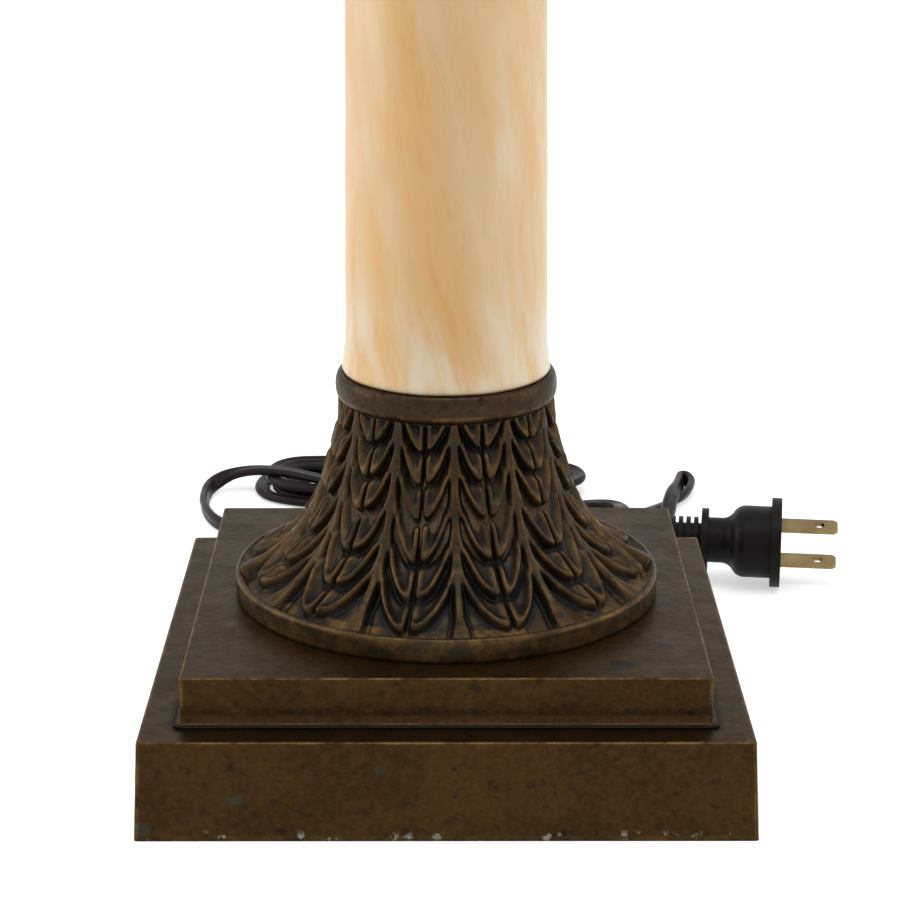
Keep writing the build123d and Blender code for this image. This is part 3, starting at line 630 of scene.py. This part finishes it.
def onyx_stone():
    """Cream onyx with peach streaks that lean and feather down the column."""
    paint = Paint("onyx")
    drift = paint.noise(0.070, detail=2)
    leaning = paint.stretch((1, 1, 0.16), turn=(0, 14, 0))
    upright = paint.stretch((1, 1, 0.10), turn=(0, -4, 0))
    clouds = paint.noise(0.021, detail=4, rough=0.55, warp=0.5, place=leaning)
    feathers = paint.noise(0.0095, detail=4, rough=0.55, warp=0.5, place=leaning)
    barbs = paint.noise(0.0042, detail=5, rough=0.6, warp=0.9, place=leaning)
    threads = paint.noise(0.0030, detail=4, rough=0.65, warp=0.2, place=upright)
    stops = ((0.30, onyx_cream), (0.48, onyx_honey), (0.68, onyx_amber))
    colour = paint.ramp(clouds, *stops)
    peach = paint.times(
        paint.band(feathers, 0.48, 0.74), paint.band(drift, 0.3, 0.62)
    )
    colour = paint.mix(paint.times(peach, 0.75), colour, onyx_peach)
    milk = paint.band(feathers, 0.50, 0.22, 0.0, 0.5)
    colour = paint.mix(milk, colour, onyx_milk)
    rust = paint.times(paint.band(barbs, 0.5, 0.72), paint.band(clouds, 0.38, 0.6))
    colour = paint.mix(paint.times(rust, 0.6), colour, onyx_rust)
    pale = paint.band(paint.height(), *pale_foot, 0.75, 0.0)
    pale = paint.times(pale, paint.band(feathers, 0.62, 0.38))
    colour = paint.mix(pale, colour, onyx_ivory)
    colour = paint.mix(paint.band(threads, 0.45, 0.75, 0.0, 0.32), colour, onyx_tan)
    gloss = paint.band(threads, 0.3, 0.7, 0.26, 0.40)
    relief = paint.bump(feathers, 0.00012)
    return paint.finish(
        Base_Color=colour,
        Roughness=gloss,
        Normal=relief,
        Specular_IOR_Level=0.4,
        Subsurface_Weight=0.25,
        Subsurface_Scale=0.004,
    )


def cloth_felt():
    """Green-brown felt with a tangle of short fibres."""
    paint = Paint("felt")
    tangle = paint.noise(0.0007, detail=4, rough=0.8, warp=2.5)
    stops = ((0.3, (0.020, 0.035, 0.020)), (0.75, (0.050, 0.072, 0.040)))
    colour = paint.ramp(tangle, *stops)
    relief = paint.bump(tangle, 0.0004)
    return paint.finish(
        Base_Color=colour, Roughness=0.95, Normal=relief, Sheen_Weight=0.4
    )


def insulator(name, dark, light, rough):
    """Pressed fibre or moulded resin, faintly mottled."""
    paint = Paint(name)
    mottle = paint.noise(0.0028, detail=5, rough=0.7)
    colour = paint.ramp(mottle, (0.3, dark), (0.75, light))
    relief = paint.bump(mottle, 0.00006)
    gloss = paint.band(mottle, 0.3, 0.7, rough - 0.05, rough + 0.07)
    return paint.finish(Base_Color=colour, Roughness=gloss, Normal=relief)


onyx = onyx_stone()
felt = cloth_felt()
gasket_rubber = insulator(
    "gasket_rubber", (0.012, 0.011, 0.010), (0.026, 0.024, 0.022), 0.7
)
fibre = insulator("fibre", (0.10, 0.055, 0.028), (0.17, 0.10, 0.05), 0.75)
phenolic = insulator("phenolic", (0.012, 0.008, 0.006), (0.030, 0.018, 0.012), 0.35)

# ---- Square castings -------------------------------------------------

side_points = 84
corner_points = 7
arris_steps = 4
# Rows beside a rounded edge, this many of its radii away
edge_row = 1.6
flat_row = 4
# Wear on a top edge and a lower edge, and how far it spreads from the corners
edge_wear = 0.7
foot_wear = 0.6
corner_reach = 0.004
rod_hole = 0.00525
inner_corner = 0.003


def square_ring():
    """Directions round a square: its side's place from -1 to 1, and its way out."""
    spread = np.sin(np.linspace(-math.pi / 2, math.pi / 2, side_points))
    places, ways = [], []
    for quarter in range(4):
        turn = quarter * math.pi / 2
        out = np.array((math.sin(turn), -math.cos(turn)))
        along = np.array((math.cos(turn), math.sin(turn)))
        for place in spread:
            places.append(out + place * along)
            ways.append(out)
        for share in np.linspace(0, 1, corner_points + 2)[1:-1]:
            bend = turn + share * math.pi / 2
            places.append(out + along)
            ways.append((math.sin(bend), -math.cos(bend)))
    return np.array(places), np.array(ways)


def square_rows(profile):
    """Rounded squares for a profile of (half width, corner radius, height)."""
    places, ways = square_ring()
    rows = []
    for half, corner, height in profile:
        flat = places * (half - corner) + ways * corner
        rows.append(np.column_stack((flat, np.full(len(flat), height))))
    return np.array(rows)


def corner_wear():
    """1 at the square's upright corners, falling to 0 a short way along its sides."""
    places, ways = square_ring()
    inward = 1 - np.abs(places).min(axis=1)
    on_corner = np.abs(ways).min(axis=1) > 0.01
    return np.where(on_corner, 1.0, np.clip(1 - inward / corner_reach, 0, 1))


def arris(half, corner, top, radius):
    """Profile rows that round the top edge of a square block."""
    rows = []
    for bend in np.linspace(0, math.pi / 2, arris_steps):
        inset = radius * (1 - math.cos(bend))
        rows.append((half - inset, corner, top - radius * (1 - math.sin(bend))))
    return rows


def steps_between(start, end, count):
    """Profile rows spaced evenly from start to end, without the end."""
    return [tuple(row) for row in np.linspace(start, end, count, endpoint=False)]


# Upper casting
tier_half = 0.06615
tier_corner = 0.0007
tier_arris = 0.0005
tier_cove = 0.0026
tier_skirt = tier_high.x - tier_half
skirt_edge = 0.0005
tier_inner_half = 0.06115
tier_disc = 0.052

# Lower casting
plinth_half = 0.0762
plinth_foot_half = plinth_half + 0.0012
plinth_corner = 0.0009
plinth_arris = 0.0006
plinth_inner_half = 0.0712
plinth_roof = 0.0045
pad_ledge_half = 0.0732
pad_recess = 0.0023
dent_depth = 0.00012
# What the upper casting covers, and the seam round it, darkened as painted shade
covered_half = tier_half - 0.004
covered_corner = 0.002
seam_half = tier_half + tier_skirt + 0.0012


def make_lower_plinth():
    """The lower casting: battered sides, a worn top edge and a hollow underside."""
    top = plinth_high.z
    roof = top - plinth_roof
    outside = steps_between(
        (plinth_foot_half, plinth_corner, 0),
        (plinth_half, plinth_corner, top - plinth_arris),
        15,
    )
    outside.append((plinth_half, plinth_corner, top - edge_row * plinth_arris))
    edge = arris(plinth_half, plinth_corner, top, plinth_arris)
    across = [(plinth_half - edge_row * plinth_arris, plinth_corner, top)]
    across += steps_between(
        (plinth_half - flat_row * plinth_arris, plinth_corner, top),
        (covered_half, covered_corner, top),
        9,
    )
    inside = [
        (rod_hole, rod_hole, top),
        (rod_hole, rod_hole, roof),
        (plinth_inner_half, inner_corner, roof),
        (plinth_inner_half, inner_corner, pad_recess),
        (pad_ledge_half, inner_corner, pad_recess),
        (pad_ledge_half, inner_corner, 0),
    ]
    rows = square_rows(outside + edge + across + inside)
    wear = np.zeros(rows.shape[:2])
    last = len(outside) + len(edge)
    wear[: last + 1] = 0.5 * corner_wear()
    wear[len(outside) + 1 : last] = edge_wear
    wear[0] = np.maximum(wear[0], foot_wear)
    hollow = np.zeros(rows.shape[:2])
    # The underside and the seam round the upper casting are darkened as painted shade.
    hollow[-len(inside) :] = 1.0
    seam = np.array([half < seam_half for half, _, _ in across])
    hollow[last : last + len(across)][seam] = 0.6
    around = np.linspace(0, 2 * math.pi, rows.shape[1])
    face = slice(1, len(outside))
    dents = dent_depth * ripple(around, rows[face, :, 2], seed=3)
    rows[face, :, :2] *= 1 - np.abs(dents)[..., None] / plinth_half
    piece = casting("plinth_lower", rows, plinth_bronze, wear=wear, hollow=hollow)
    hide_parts("lower_plinth")


def make_upper_plinth():
    """The upper casting, with a cove along its foot and an uneven seam below."""
    low, top = tier_low.z, tier_high.z
    roof = top - plinth_roof
    skirt_corner = tier_corner + tier_skirt
    profile = [(tier_half + tier_skirt, skirt_corner, low)]
    for bend in np.linspace(0, math.pi / 2, 7):
        out = tier_skirt * (1 - math.sin(bend))
        rise = tier_cove * (1 - math.cos(bend))
        profile.append((tier_half + out, tier_corner + out, low + skirt_edge + rise))
    face = len(profile)
    profile += steps_between(
        (tier_half, tier_corner, low + tier_cove + 0.001),
        (tier_half, tier_corner, top - tier_arris),
        8,
    )
    profile.append((tier_half, tier_corner, top - edge_row * tier_arris))
    edge = len(profile)
    profile += arris(tier_half, tier_corner, top, tier_arris)
    flat = len(profile)
    profile.append((tier_half - edge_row * tier_arris, tier_corner, top))
    profile += steps_between(
        (tier_half - flat_row * tier_arris, tier_corner, top),
        (tier_disc, tier_disc, top),
        8,
    )
    profile += [
        (rod_hole, rod_hole, top),
        (rod_hole, rod_hole, roof),
        (tier_inner_half, inner_corner, roof),
        (tier_inner_half, inner_corner, low),
    ]
    rows = square_rows(profile)
    around = np.linspace(0, 2 * math.pi, rows.shape[1])
    gap = np.array([[0.0], [0.00025]]) * (1 + ripple(around, 0, seed=8))
    rows[0:2, :, 2] += gap
    wear = np.zeros(rows.shape[:2])
    wear[face:flat] = 0.6 * corner_wear()
    wear[edge + 1 : flat] = edge_wear
    hollow = np.zeros(rows.shape[:2])
    # The cove and skirt at the tier's foot are darkened: painted shade.
    hollow[0:4] = np.array([[1.0], [1.0], [0.8], [0.35]])
    piece = casting("plinth_upper", rows, plinth_bronze, wear=wear, hollow=hollow)
    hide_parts("upper_plinth")


# ---- Carved leaves ---------------------------------------------------

leaf_count = 12
leaf_turn = math.radians(4)
# Share of a leaf's half width at which the gap beside it starts
gap_line = 0.97
# How far from true the carving is, across and down a leaf
carving_drift = 0.00022
leaflet_shift = 0.0006
leaflet_drift = 0.0004
cast_ripple = 0.00012
# Leaflets: how they sweep down from the midrib, and their relief
sweep_power = 1.8
leaflet_round = 0.0009
leaflet_ridge = 0.0006
leaflet_trough = 0.0010
leaflet_step = 0.0009
leaflet_tuck = 0.0011
gap_depth = 0.0016
# The midrib: its half width and height at the top, what it gains, and its groove
rib_half = 0.00125
rib_spread = 0.0013
rib_height = 0.0010
rib_rise = 0.0003
rib_round = 0.0002
rib_groove = 0.0005
# Times that the relief is softened for the level that its wear stands out from
mark_passes = 30


def softened(values, times):
    """A grid of numbers, averaged with its neighbours, joined round each row."""
    for _ in range(times):
        above = np.vstack((values[:1], values[:-1]))
        below = np.vstack((values[1:], values[-1:]))
        left, right = np.roll(values, 1, axis=1), np.roll(values, -1, axis=1)
        values = (2 * values + above + below + left + right) / 6
    return values


def hump(distance, width):
    """A smooth hump that is 1 at distance 0 and fades over width."""
    return np.exp(-((distance / width) ** 2))


def leaf_places(angles, down, half_pitch, scale, seed):
    """How far each point is from its leaf's midrib and down the leaf, a little off."""
    turn = (angles - leaf_turn) * leaf_count / (2 * math.pi)
    leaf = np.round(turn)
    pick = random.Random(seed)
    shifts = [[pick.uniform(-1, 1) for _ in range(2)] for _ in range(leaf_count)]
    on_right = (turn > leaf).astype(int)
    shift = np.array(shifts)[(leaf % leaf_count).astype(int), on_right]
    wave = ripple(angles, down, seed)
    across = np.abs(turn - leaf) * 2 * half_pitch + carving_drift * scale * wave
    wave = ripple(angles, down, seed + 1)
    down = down + leaflet_shift * scale * shift + leaflet_drift * scale * wave
    return across, down


def leaflet_relief(across, down, rib, gap, tips, rise, scale):
    """Leaflets in steps, each from the midrib down to a tip beside the gap."""
    free = np.clip((across - rib) / (gap - rib), 0, 1)
    sweep = rise * (0.75 + 0.6 * down / tips[-1])
    level = down + sweep * (1 - free) ** sweep_power
    slope = sweep * sweep_power * (1 - free) ** (sweep_power - 1) / (gap - rib)
    tier = np.clip(np.searchsorted(tips, level), 1, len(tips) - 1)
    lean = 1 / np.sqrt(1 + slope**2)
    to_tip = (tips[tier] - level) * lean
    from_last = (level - tips[tier - 1]) * lean
    share = np.clip((level - tips[tier - 1]) / (tips[tier] - tips[tier - 1]), 0, 1)
    soft = leaflet_round * scale
    edge = -soft * np.logaddexp(-to_tip / soft, -(gap - across) / soft)
    ridge = hump(edge - 0.0008 * scale, 0.00075 * scale)
    trough = smooth_step(edge, 0.0009 * scale, 0.0027 * scale)
    tucked = hump(from_last, 0.0010 * scale) * smooth_step(free, 0.1, 0.5)
    leaflet = leaflet_ridge * ridge - leaflet_trough * trough
    leaflet = leaflet + leaflet_step * share - leaflet_tuck * tucked
    outside = smooth_step(-edge, -0.0003 * scale, 0.0003 * scale)
    return leaflet * (1 - outside) - gap_depth * outside


def leaf_relief(angles, down, half_pitch, tips, rise, scale, spread_from, seed):
    """How far the carved leaves stand out, for a grid of angles and distances down.

    Each leaf has a midrib, which spreads from spread_from down, and leaflets that
    sweep by rise from it to their tips beside the gap between two leaves.
    """
    half_pitch = half_pitch[:, None]
    across, down = leaf_places(angles, down[:, None], half_pitch, scale, seed)
    spread = smooth_step(down, spread_from, tips[-1] + 0.001 * scale)
    rib = scale * (rib_half + rib_spread * spread)
    gap = gap_line * half_pitch
    leaflet = leaflet_relief(across, down, rib, gap, tips, rise, scale)
    rib_top = rib_height + rib_rise * spread - rib_round * (across / rib) ** 2
    on_rib = smooth_step(rib + 0.0005 * scale - across, 0, 0.0010 * scale)
    beside = hump(across - rib - 0.0008 * scale, 0.0005 * scale)
    relief = on_rib * rib_top + (1 - on_rib) * (leaflet - rib_groove * beside)
    ripples = ripple(angles, down * 3, seed + 2)
    return scale * relief + cast_ripple * scale * ripples


def relief_marks(relief, width):
    """Wear on what stands out of the relief, and dirt and painted shade in its
    hollows.
    """
    local = relief - softened(relief, mark_passes)
    wear = smooth_step(local, 0.05 * width, 0.7 * width)
    # Darkening of the relief's hollows: dirt and painted shade
    hollow = smooth_step(-local, 0.0, 0.6 * width)
    return wear, hollow


def even_profile(radius_at, high, low, count):
    """Points (radius, height) spaced evenly along a curve, and their distances."""
    height = np.linspace(high, low, 12 * count)
    radius = radius_at(height)
    steps = np.hypot(np.diff(radius), np.diff(height))
    length = np.concatenate(([0], np.cumsum(steps)))
    even = np.linspace(0, length[-1], count)
    at = np.interp(even, length, height)
    return np.stack((radius_at(at), at), axis=-1), even


# ---- Leaf foot -------------------------------------------------------

rim_radius = foot_high.x
rim_ledge = 0.0016
rim_arris = 0.0008
foot_waist = 0.029
foot_decay = 0.0137
foot_tips = np.array((-0.001, 0.0079, 0.0163, 0.0253, 0.0363, 0.0462, 0.0556))
foot_leaf = {"rise": 0.0125, "scale": 1.0, "spread_from": 0.049, "seed": 5}
foot_leaf_points = 76
foot_rows = 150
foot_mark_width = 0.0006
# The carving is sunk into the flare, and more under the collar.
foot_sunk = 0.0007
neck_sunk = 0.0016
neck_from, neck_to = 0.004, 0.020


def flare_radius(height):
    """Radius of the foot's flare at a height above its underside."""
    spread = rim_radius - rim_ledge - foot_waist
    return foot_waist + spread * np.exp(-(height - rim_height) / foot_decay)


def make_leaf_foot():
    """The flared foot with its carved leaves, rim band and hollow underside.

    Its flare is the one of the solid that it stands for.
    """
    base = foot_low.z
    angles = angles_of(leaf_count * foot_leaf_points)
    height = foot_high.z - base
    top = height + collar_bead_low
    flare, down = even_profile(flare_radius, top, rim_height, foot_rows)
    half_pitch = flare[:, 0] * math.pi / leaf_count
    relief = leaf_relief(angles, down, half_pitch, foot_tips, **foot_leaf)
    sunk = foot_sunk + neck_sunk * (1 - smooth_step(down, neck_from, neck_to))
    relief = softened(relief, 2) - sunk[:, None]
    wear, hollow = relief_marks(relief, foot_mark_width)
    carved = turned_rows(flare, angles, relief)
    ledge = [
        (rim_radius - rim_arris - 0.0004, rim_height),
        (rim_radius - rim_arris, rim_height),
        (rim_radius - 0.3 * rim_arris, rim_height - 0.3 * rim_arris),
        (rim_radius, rim_height - rim_arris),
    ]
    band = [(rim_radius, z) for z in np.linspace(rim_height - 0.0014, 0.0003, 8)]
    inside = [
        (rim_radius - 0.0003, 0),
        (rim_radius - 0.006, 0),
        (0.040, 0.010),
        (foot_waist - 0.003, height - 0.006),
        (rod_hole, height - 0.004),
        (rod_hole, height),
    ]
    plain = turned_rows(ledge + band + inside, angles)
    rows = np.concatenate((carved, plain))
    rows[..., 2] += base
    plain_wear = np.zeros(plain.shape[:2])
    plain_hollow = np.zeros(plain.shape[:2])
    streaks = smooth_step(ripple(angles, 0, seed=12), -0.2, 0.35)
    plain_wear[2:4] = 0.55 + 0.45 * streaks
    plain_wear[4 : len(ledge) + len(band)] = 0.25 + 0.6 * streaks
    # The inner corner where the carving meets the ledge is darkened: painted shade.
    plain_hollow[0] = 1.0
    piece = casting(
        "carved_leaf_foot",
        rows,
        leaf_bronze,
        wear=np.concatenate((wear, plain_wear)),
        hollow=np.concatenate((hollow, plain_hollow)),
    )
    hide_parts("leaf_foot")


# ---- Bead collar -----------------------------------------------------

collar_edge = 0.0276
collar_neck = 0.0278
collar_recess = 0.0260
collar_recess_depth = 0.0012
collar_deck = 0.0036
collar_wall = 0.0245
bead_fullness = 0.7


def make_bead_collar():
    """The bead ring that the column stands in, worn along its lower edge.

    Its bead comes lower than the solid's, over a neck darkened as painted shade.
    """
    height = collar_high.z - collar_low.z
    middle = (height + collar_bead_low) / 2
    half = (height - collar_bead_low) / 2
    bends = np.linspace(-math.pi / 2, math.pi / 2, 26)
    out = (collar_high.x - collar_edge) * np.abs(np.cos(bends)) ** bead_fullness
    bead = list(zip(collar_edge + out, middle + half * np.sin(bends)))
    seat = height - collar_recess_depth
    deck = height - collar_deck
    inside = [
        (collar_recess, height),
        (collar_recess, seat),
        (rod_hole, seat),
        (rod_hole, deck),
        (collar_wall, deck),
        (collar_wall, 0),
    ]
    neck = [(collar_neck, 0), (collar_neck, collar_bead_low)]
    rows = turned_rows(neck + bead + inside, angles_of(round_points))
    rows[..., 2] += collar_low.z
    hollow = np.zeros(rows.shape[:2])
    # The neck and the bead's underside are darkened: painted shade.
    hollow[: len(neck) + 2] = 1.0
    piece = casting("turned_bead_collar", rows, collar_bronze, hollow=hollow)
    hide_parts("bead_collar")


# ---- Capital ---------------------------------------------------------

bell_neck = 0.0234
bell_lip = bell_high.x
bell_decay = 0.011
bell_floor = 0.0035
bell_tips = np.array((-0.001, 0.0072, 0.0146, 0.0222, 0.0304, 0.0384, 0.0452))
bell_leaf = {"rise": 0.0105, "scale": 0.72, "spread_from": 0.041, "seed": 31}
bell_leaf_points = 52
bell_rows = 110
bell_mark_width = 0.00045


def bell_radius(height):
    """Radius of the bell at a height above its underside."""
    rise = height - (bell_high.z - bell_low.z)
    return bell_neck + (bell_lip - bell_neck) * np.exp(rise / bell_decay)


def make_capital_bell():
    """The bell of the capital, with the foot's leaves upside down."""
    height = bell_high.z - bell_low.z
    angles = angles_of(leaf_count * bell_leaf_points)
    bell, down = even_profile(bell_radius, 0, height, bell_rows)
    half_pitch = bell[:, 0] * math.pi / leaf_count
    relief = leaf_relief(angles, down, half_pitch, bell_tips, **bell_leaf)
    fade = smooth_step(down, 0, 0.0008) * smooth_step(down[-1] - down, 0, 0.0010)
    relief = relief * fade[:, None]
    wear, hollow = relief_marks(relief, bell_mark_width)
    carved = turned_rows(bell, angles, relief)
    inside = [
        (bell_lip - 0.002, height),
        (bell_lip - 0.0045, height),
        (bell_neck - 0.003, height - 0.016),
        (bell_neck - 0.0035, bell_floor),
        (rod_hole, bell_floor),
        (rod_hole, 0),
    ]
    plain = turned_rows(inside, angles)
    rows = np.concatenate((carved, plain))
    rows[..., 2] += bell_low.z
    blank = np.zeros(plain.shape[:2])
    piece = casting(
        "carved_capital",
        rows[::-1],
        leaf_bronze,
        wear=np.concatenate((wear, blank))[::-1],
        hollow=np.concatenate((hollow, blank))[::-1],
    )
    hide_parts("capital_bell")


# ---- Column ----------------------------------------------------------

column_foot_radius = column_high.x
column_foot_length = 0.012
column_knee_radius = 0.02681
column_top_radius = 0.0236
column_bore = 0.008
# The ground stone wavers, a hair inside its solid, and its foot's edge is chipped.
column_waver = 0.00022
column_ease = 0.00012
foot_chip = 0.0005


def column_radius(height):
    """Radius of the column: a flared foot, then a long straight taper."""
    length = column_high.z - column_low.z
    share = (height - column_foot_length) / (length - column_foot_length)
    taper = column_knee_radius + (column_top_radius - column_knee_radius) * share
    flare = np.clip(1 - height / column_foot_length, 0, 1) ** 2
    return taper + (column_foot_radius - column_knee_radius) * flare


def make_column():
    """The onyx column, ground by hand, so that its sides waver a little."""
    length = column_high.z - column_low.z
    angles = angles_of(round_points)
    heights = np.concatenate(([0, 0.0008], np.linspace(0.002, length, 90)))
    outside = np.stack((column_radius(heights), heights), axis=-1)
    waver = column_waver * ripple(angles, heights[:, None] * 0.35, seed=21)
    waver = waver * smooth_step(length - heights, 0, 0.004)[:, None]
    waver[0] -= foot_chip
    ground = turned_rows(outside, angles)
    scale = 1 + (waver - column_ease) / outside[:, :1]
    ground[..., :2] *= scale[..., None]
    bore = turned_rows([(column_bore, length), (column_bore, 0)], angles)
    rows = np.concatenate((ground, bore))
    rows[..., 2] += column_low.z
    piece = grid_piece("ground_onyx_column", rows[::-1], "lamp", "onyx", onyx)
    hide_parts("onyx_column")


# ---- The solids that are shown as they are ---------------------------

finishes = {
    plain_bronze: ["astragal_ring", "abacus"],
    felt: ["felt_pad"],
    gasket_rubber: ["column_gasket_lower", "column_gasket_upper"],
    zinc_steel: [
        "tie_rod", "bottom_washer", "lock_washer", "bottom_nut", "set_screw",
        "switch_shaft",
    ],
    lacquered_brass: [
        "top_cap", "neck", "top_nut", "harp_saddle", "socket_cap", "socket_shell",
        "harp", "harp_stud", "ferrule_left", "ferrule_right", "finial",
    ],
    fibre: ["socket_liner"],
    phenolic: ["socket_core", "switch_key"],
    contact_brass: ["screw_shell", "centre_contact", "terminal_screws"],
    cord_vinyl: ["lead_inside", "cord_gland"],
    plug_vinyl: ["plug_body"],
    blade_brass: ["plug_blades"],
}


def dress_nodes():
    """Give each solid that is shown its finish."""
    for material, names in finishes.items():
        for name in names:
            for slot in nodes[name].material_slots:
                slot.material = material


make_lower_plinth()
make_upper_plinth()
make_leaf_foot()
make_bead_collar()
make_capital_bell()
make_column()
dress_nodes()

# ---- Floor, lights and background ------------------------------------

floor_half = 6.0
floor_pale = (0.80, 0.80, 0.80)
floor_paler = (0.82, 0.82, 0.82)
white = (1, 1, 1)
# Extra white of the floor where it is seen directly
floor_glow = 0.5
# Strength of the surround as a light, and where it is seen directly
surround_strengths = (0.55, 1.0)
light_aim = (0, 0, 0.25)
# Soft boxes: where they hang, their size and their power in watts
soft_boxes = {
    "left_box": ((-1.3, 0.1, 0.7), (1.0, 1.2), 8.2),
    "right_box": ((1.3, 0.1, 0.7), (1.0, 1.2), 6.5),
    "top_box": ((0, -0.5, 1.8), (1.2, 0.8), 9.5),
}


def seen_directly(tree):
    """1 for a ray from the camera, or from something glossy or clear."""
    path = tree.nodes.new("ShaderNodeLightPath")
    seen = path.outputs["Is Camera Ray"]
    for other in ("Is Glossy Ray", "Is Transmission Ray"):
        either = tree.nodes.new("ShaderNodeMath")
        either.operation = "MAXIMUM"
        tree.links.new(seen, either.inputs[0])
        tree.links.new(path.outputs[other], either.inputs[1])
        seen = either.outputs[0]
    return seen


def make_floor():
    """A white floor that keeps the lamp's shadow."""
    mesh = bpy.data.meshes.new("floor")
    corners = [(-1, -1), (1, -1), (1, 1), (-1, 1)]
    points = [(floor_half * x, floor_half * y, 0) for x, y in corners]
    mesh.from_pydata(points, [], [(0, 1, 2, 3)])
    paint = Paint("floor_white")
    glow = paint.times(seen_directly(paint.tree), floor_glow)
    grain = paint.noise(0.3, detail=2)
    colour = paint.ramp(grain, (0.3, floor_pale), (0.7, floor_paler))
    material = paint.finish(
        Base_Color=colour, Roughness=0.9, Emission_Color=white, Emission_Strength=glow
    )
    mesh.materials.append(material)
    floor = bpy.data.objects.new("floor", mesh)
    bpy.context.collection.objects.link(floor)


def make_light(name, place, size, power):
    """A large soft box that faces the middle of the lamp."""
    data = bpy.data.lights.new(name, "AREA")
    data.shape = "RECTANGLE"
    data.size, data.size_y = size
    data.energy = power
    light = bpy.data.objects.new(name, data)
    light.location = place
    aim = Vector(light_aim) - Vector(place)
    light.rotation_euler = aim.to_track_quat("-Z", "Y").to_euler()
    bpy.context.collection.objects.link(light)


def make_world():
    """A white surround, dimmer as a light than as a background."""
    world = bpy.data.worlds.new("studio")
    world.use_nodes = True
    tree = world.node_tree
    tree.nodes.clear()
    mix = tree.nodes.new("ShaderNodeMixShader")
    tree.links.new(seen_directly(tree), mix.inputs[0])
    for socket, strength in zip(mix.inputs[1:], surround_strengths):
        light = tree.nodes.new("ShaderNodeBackground")
        light.inputs["Color"].default_value = (*white, 1)
        light.inputs["Strength"].default_value = strength
        tree.links.new(light.outputs[0], socket)
    output = tree.nodes.new("ShaderNodeOutputWorld")
    tree.links.new(mix.outputs[0], output.inputs["Surface"])
    bpy.context.scene.world = world


make_floor()
for name, (place, size, power) in soft_boxes.items():
    make_light(name, place, size, power)
make_world()
bpy.context.scene.view_settings.view_transform = "Standard"
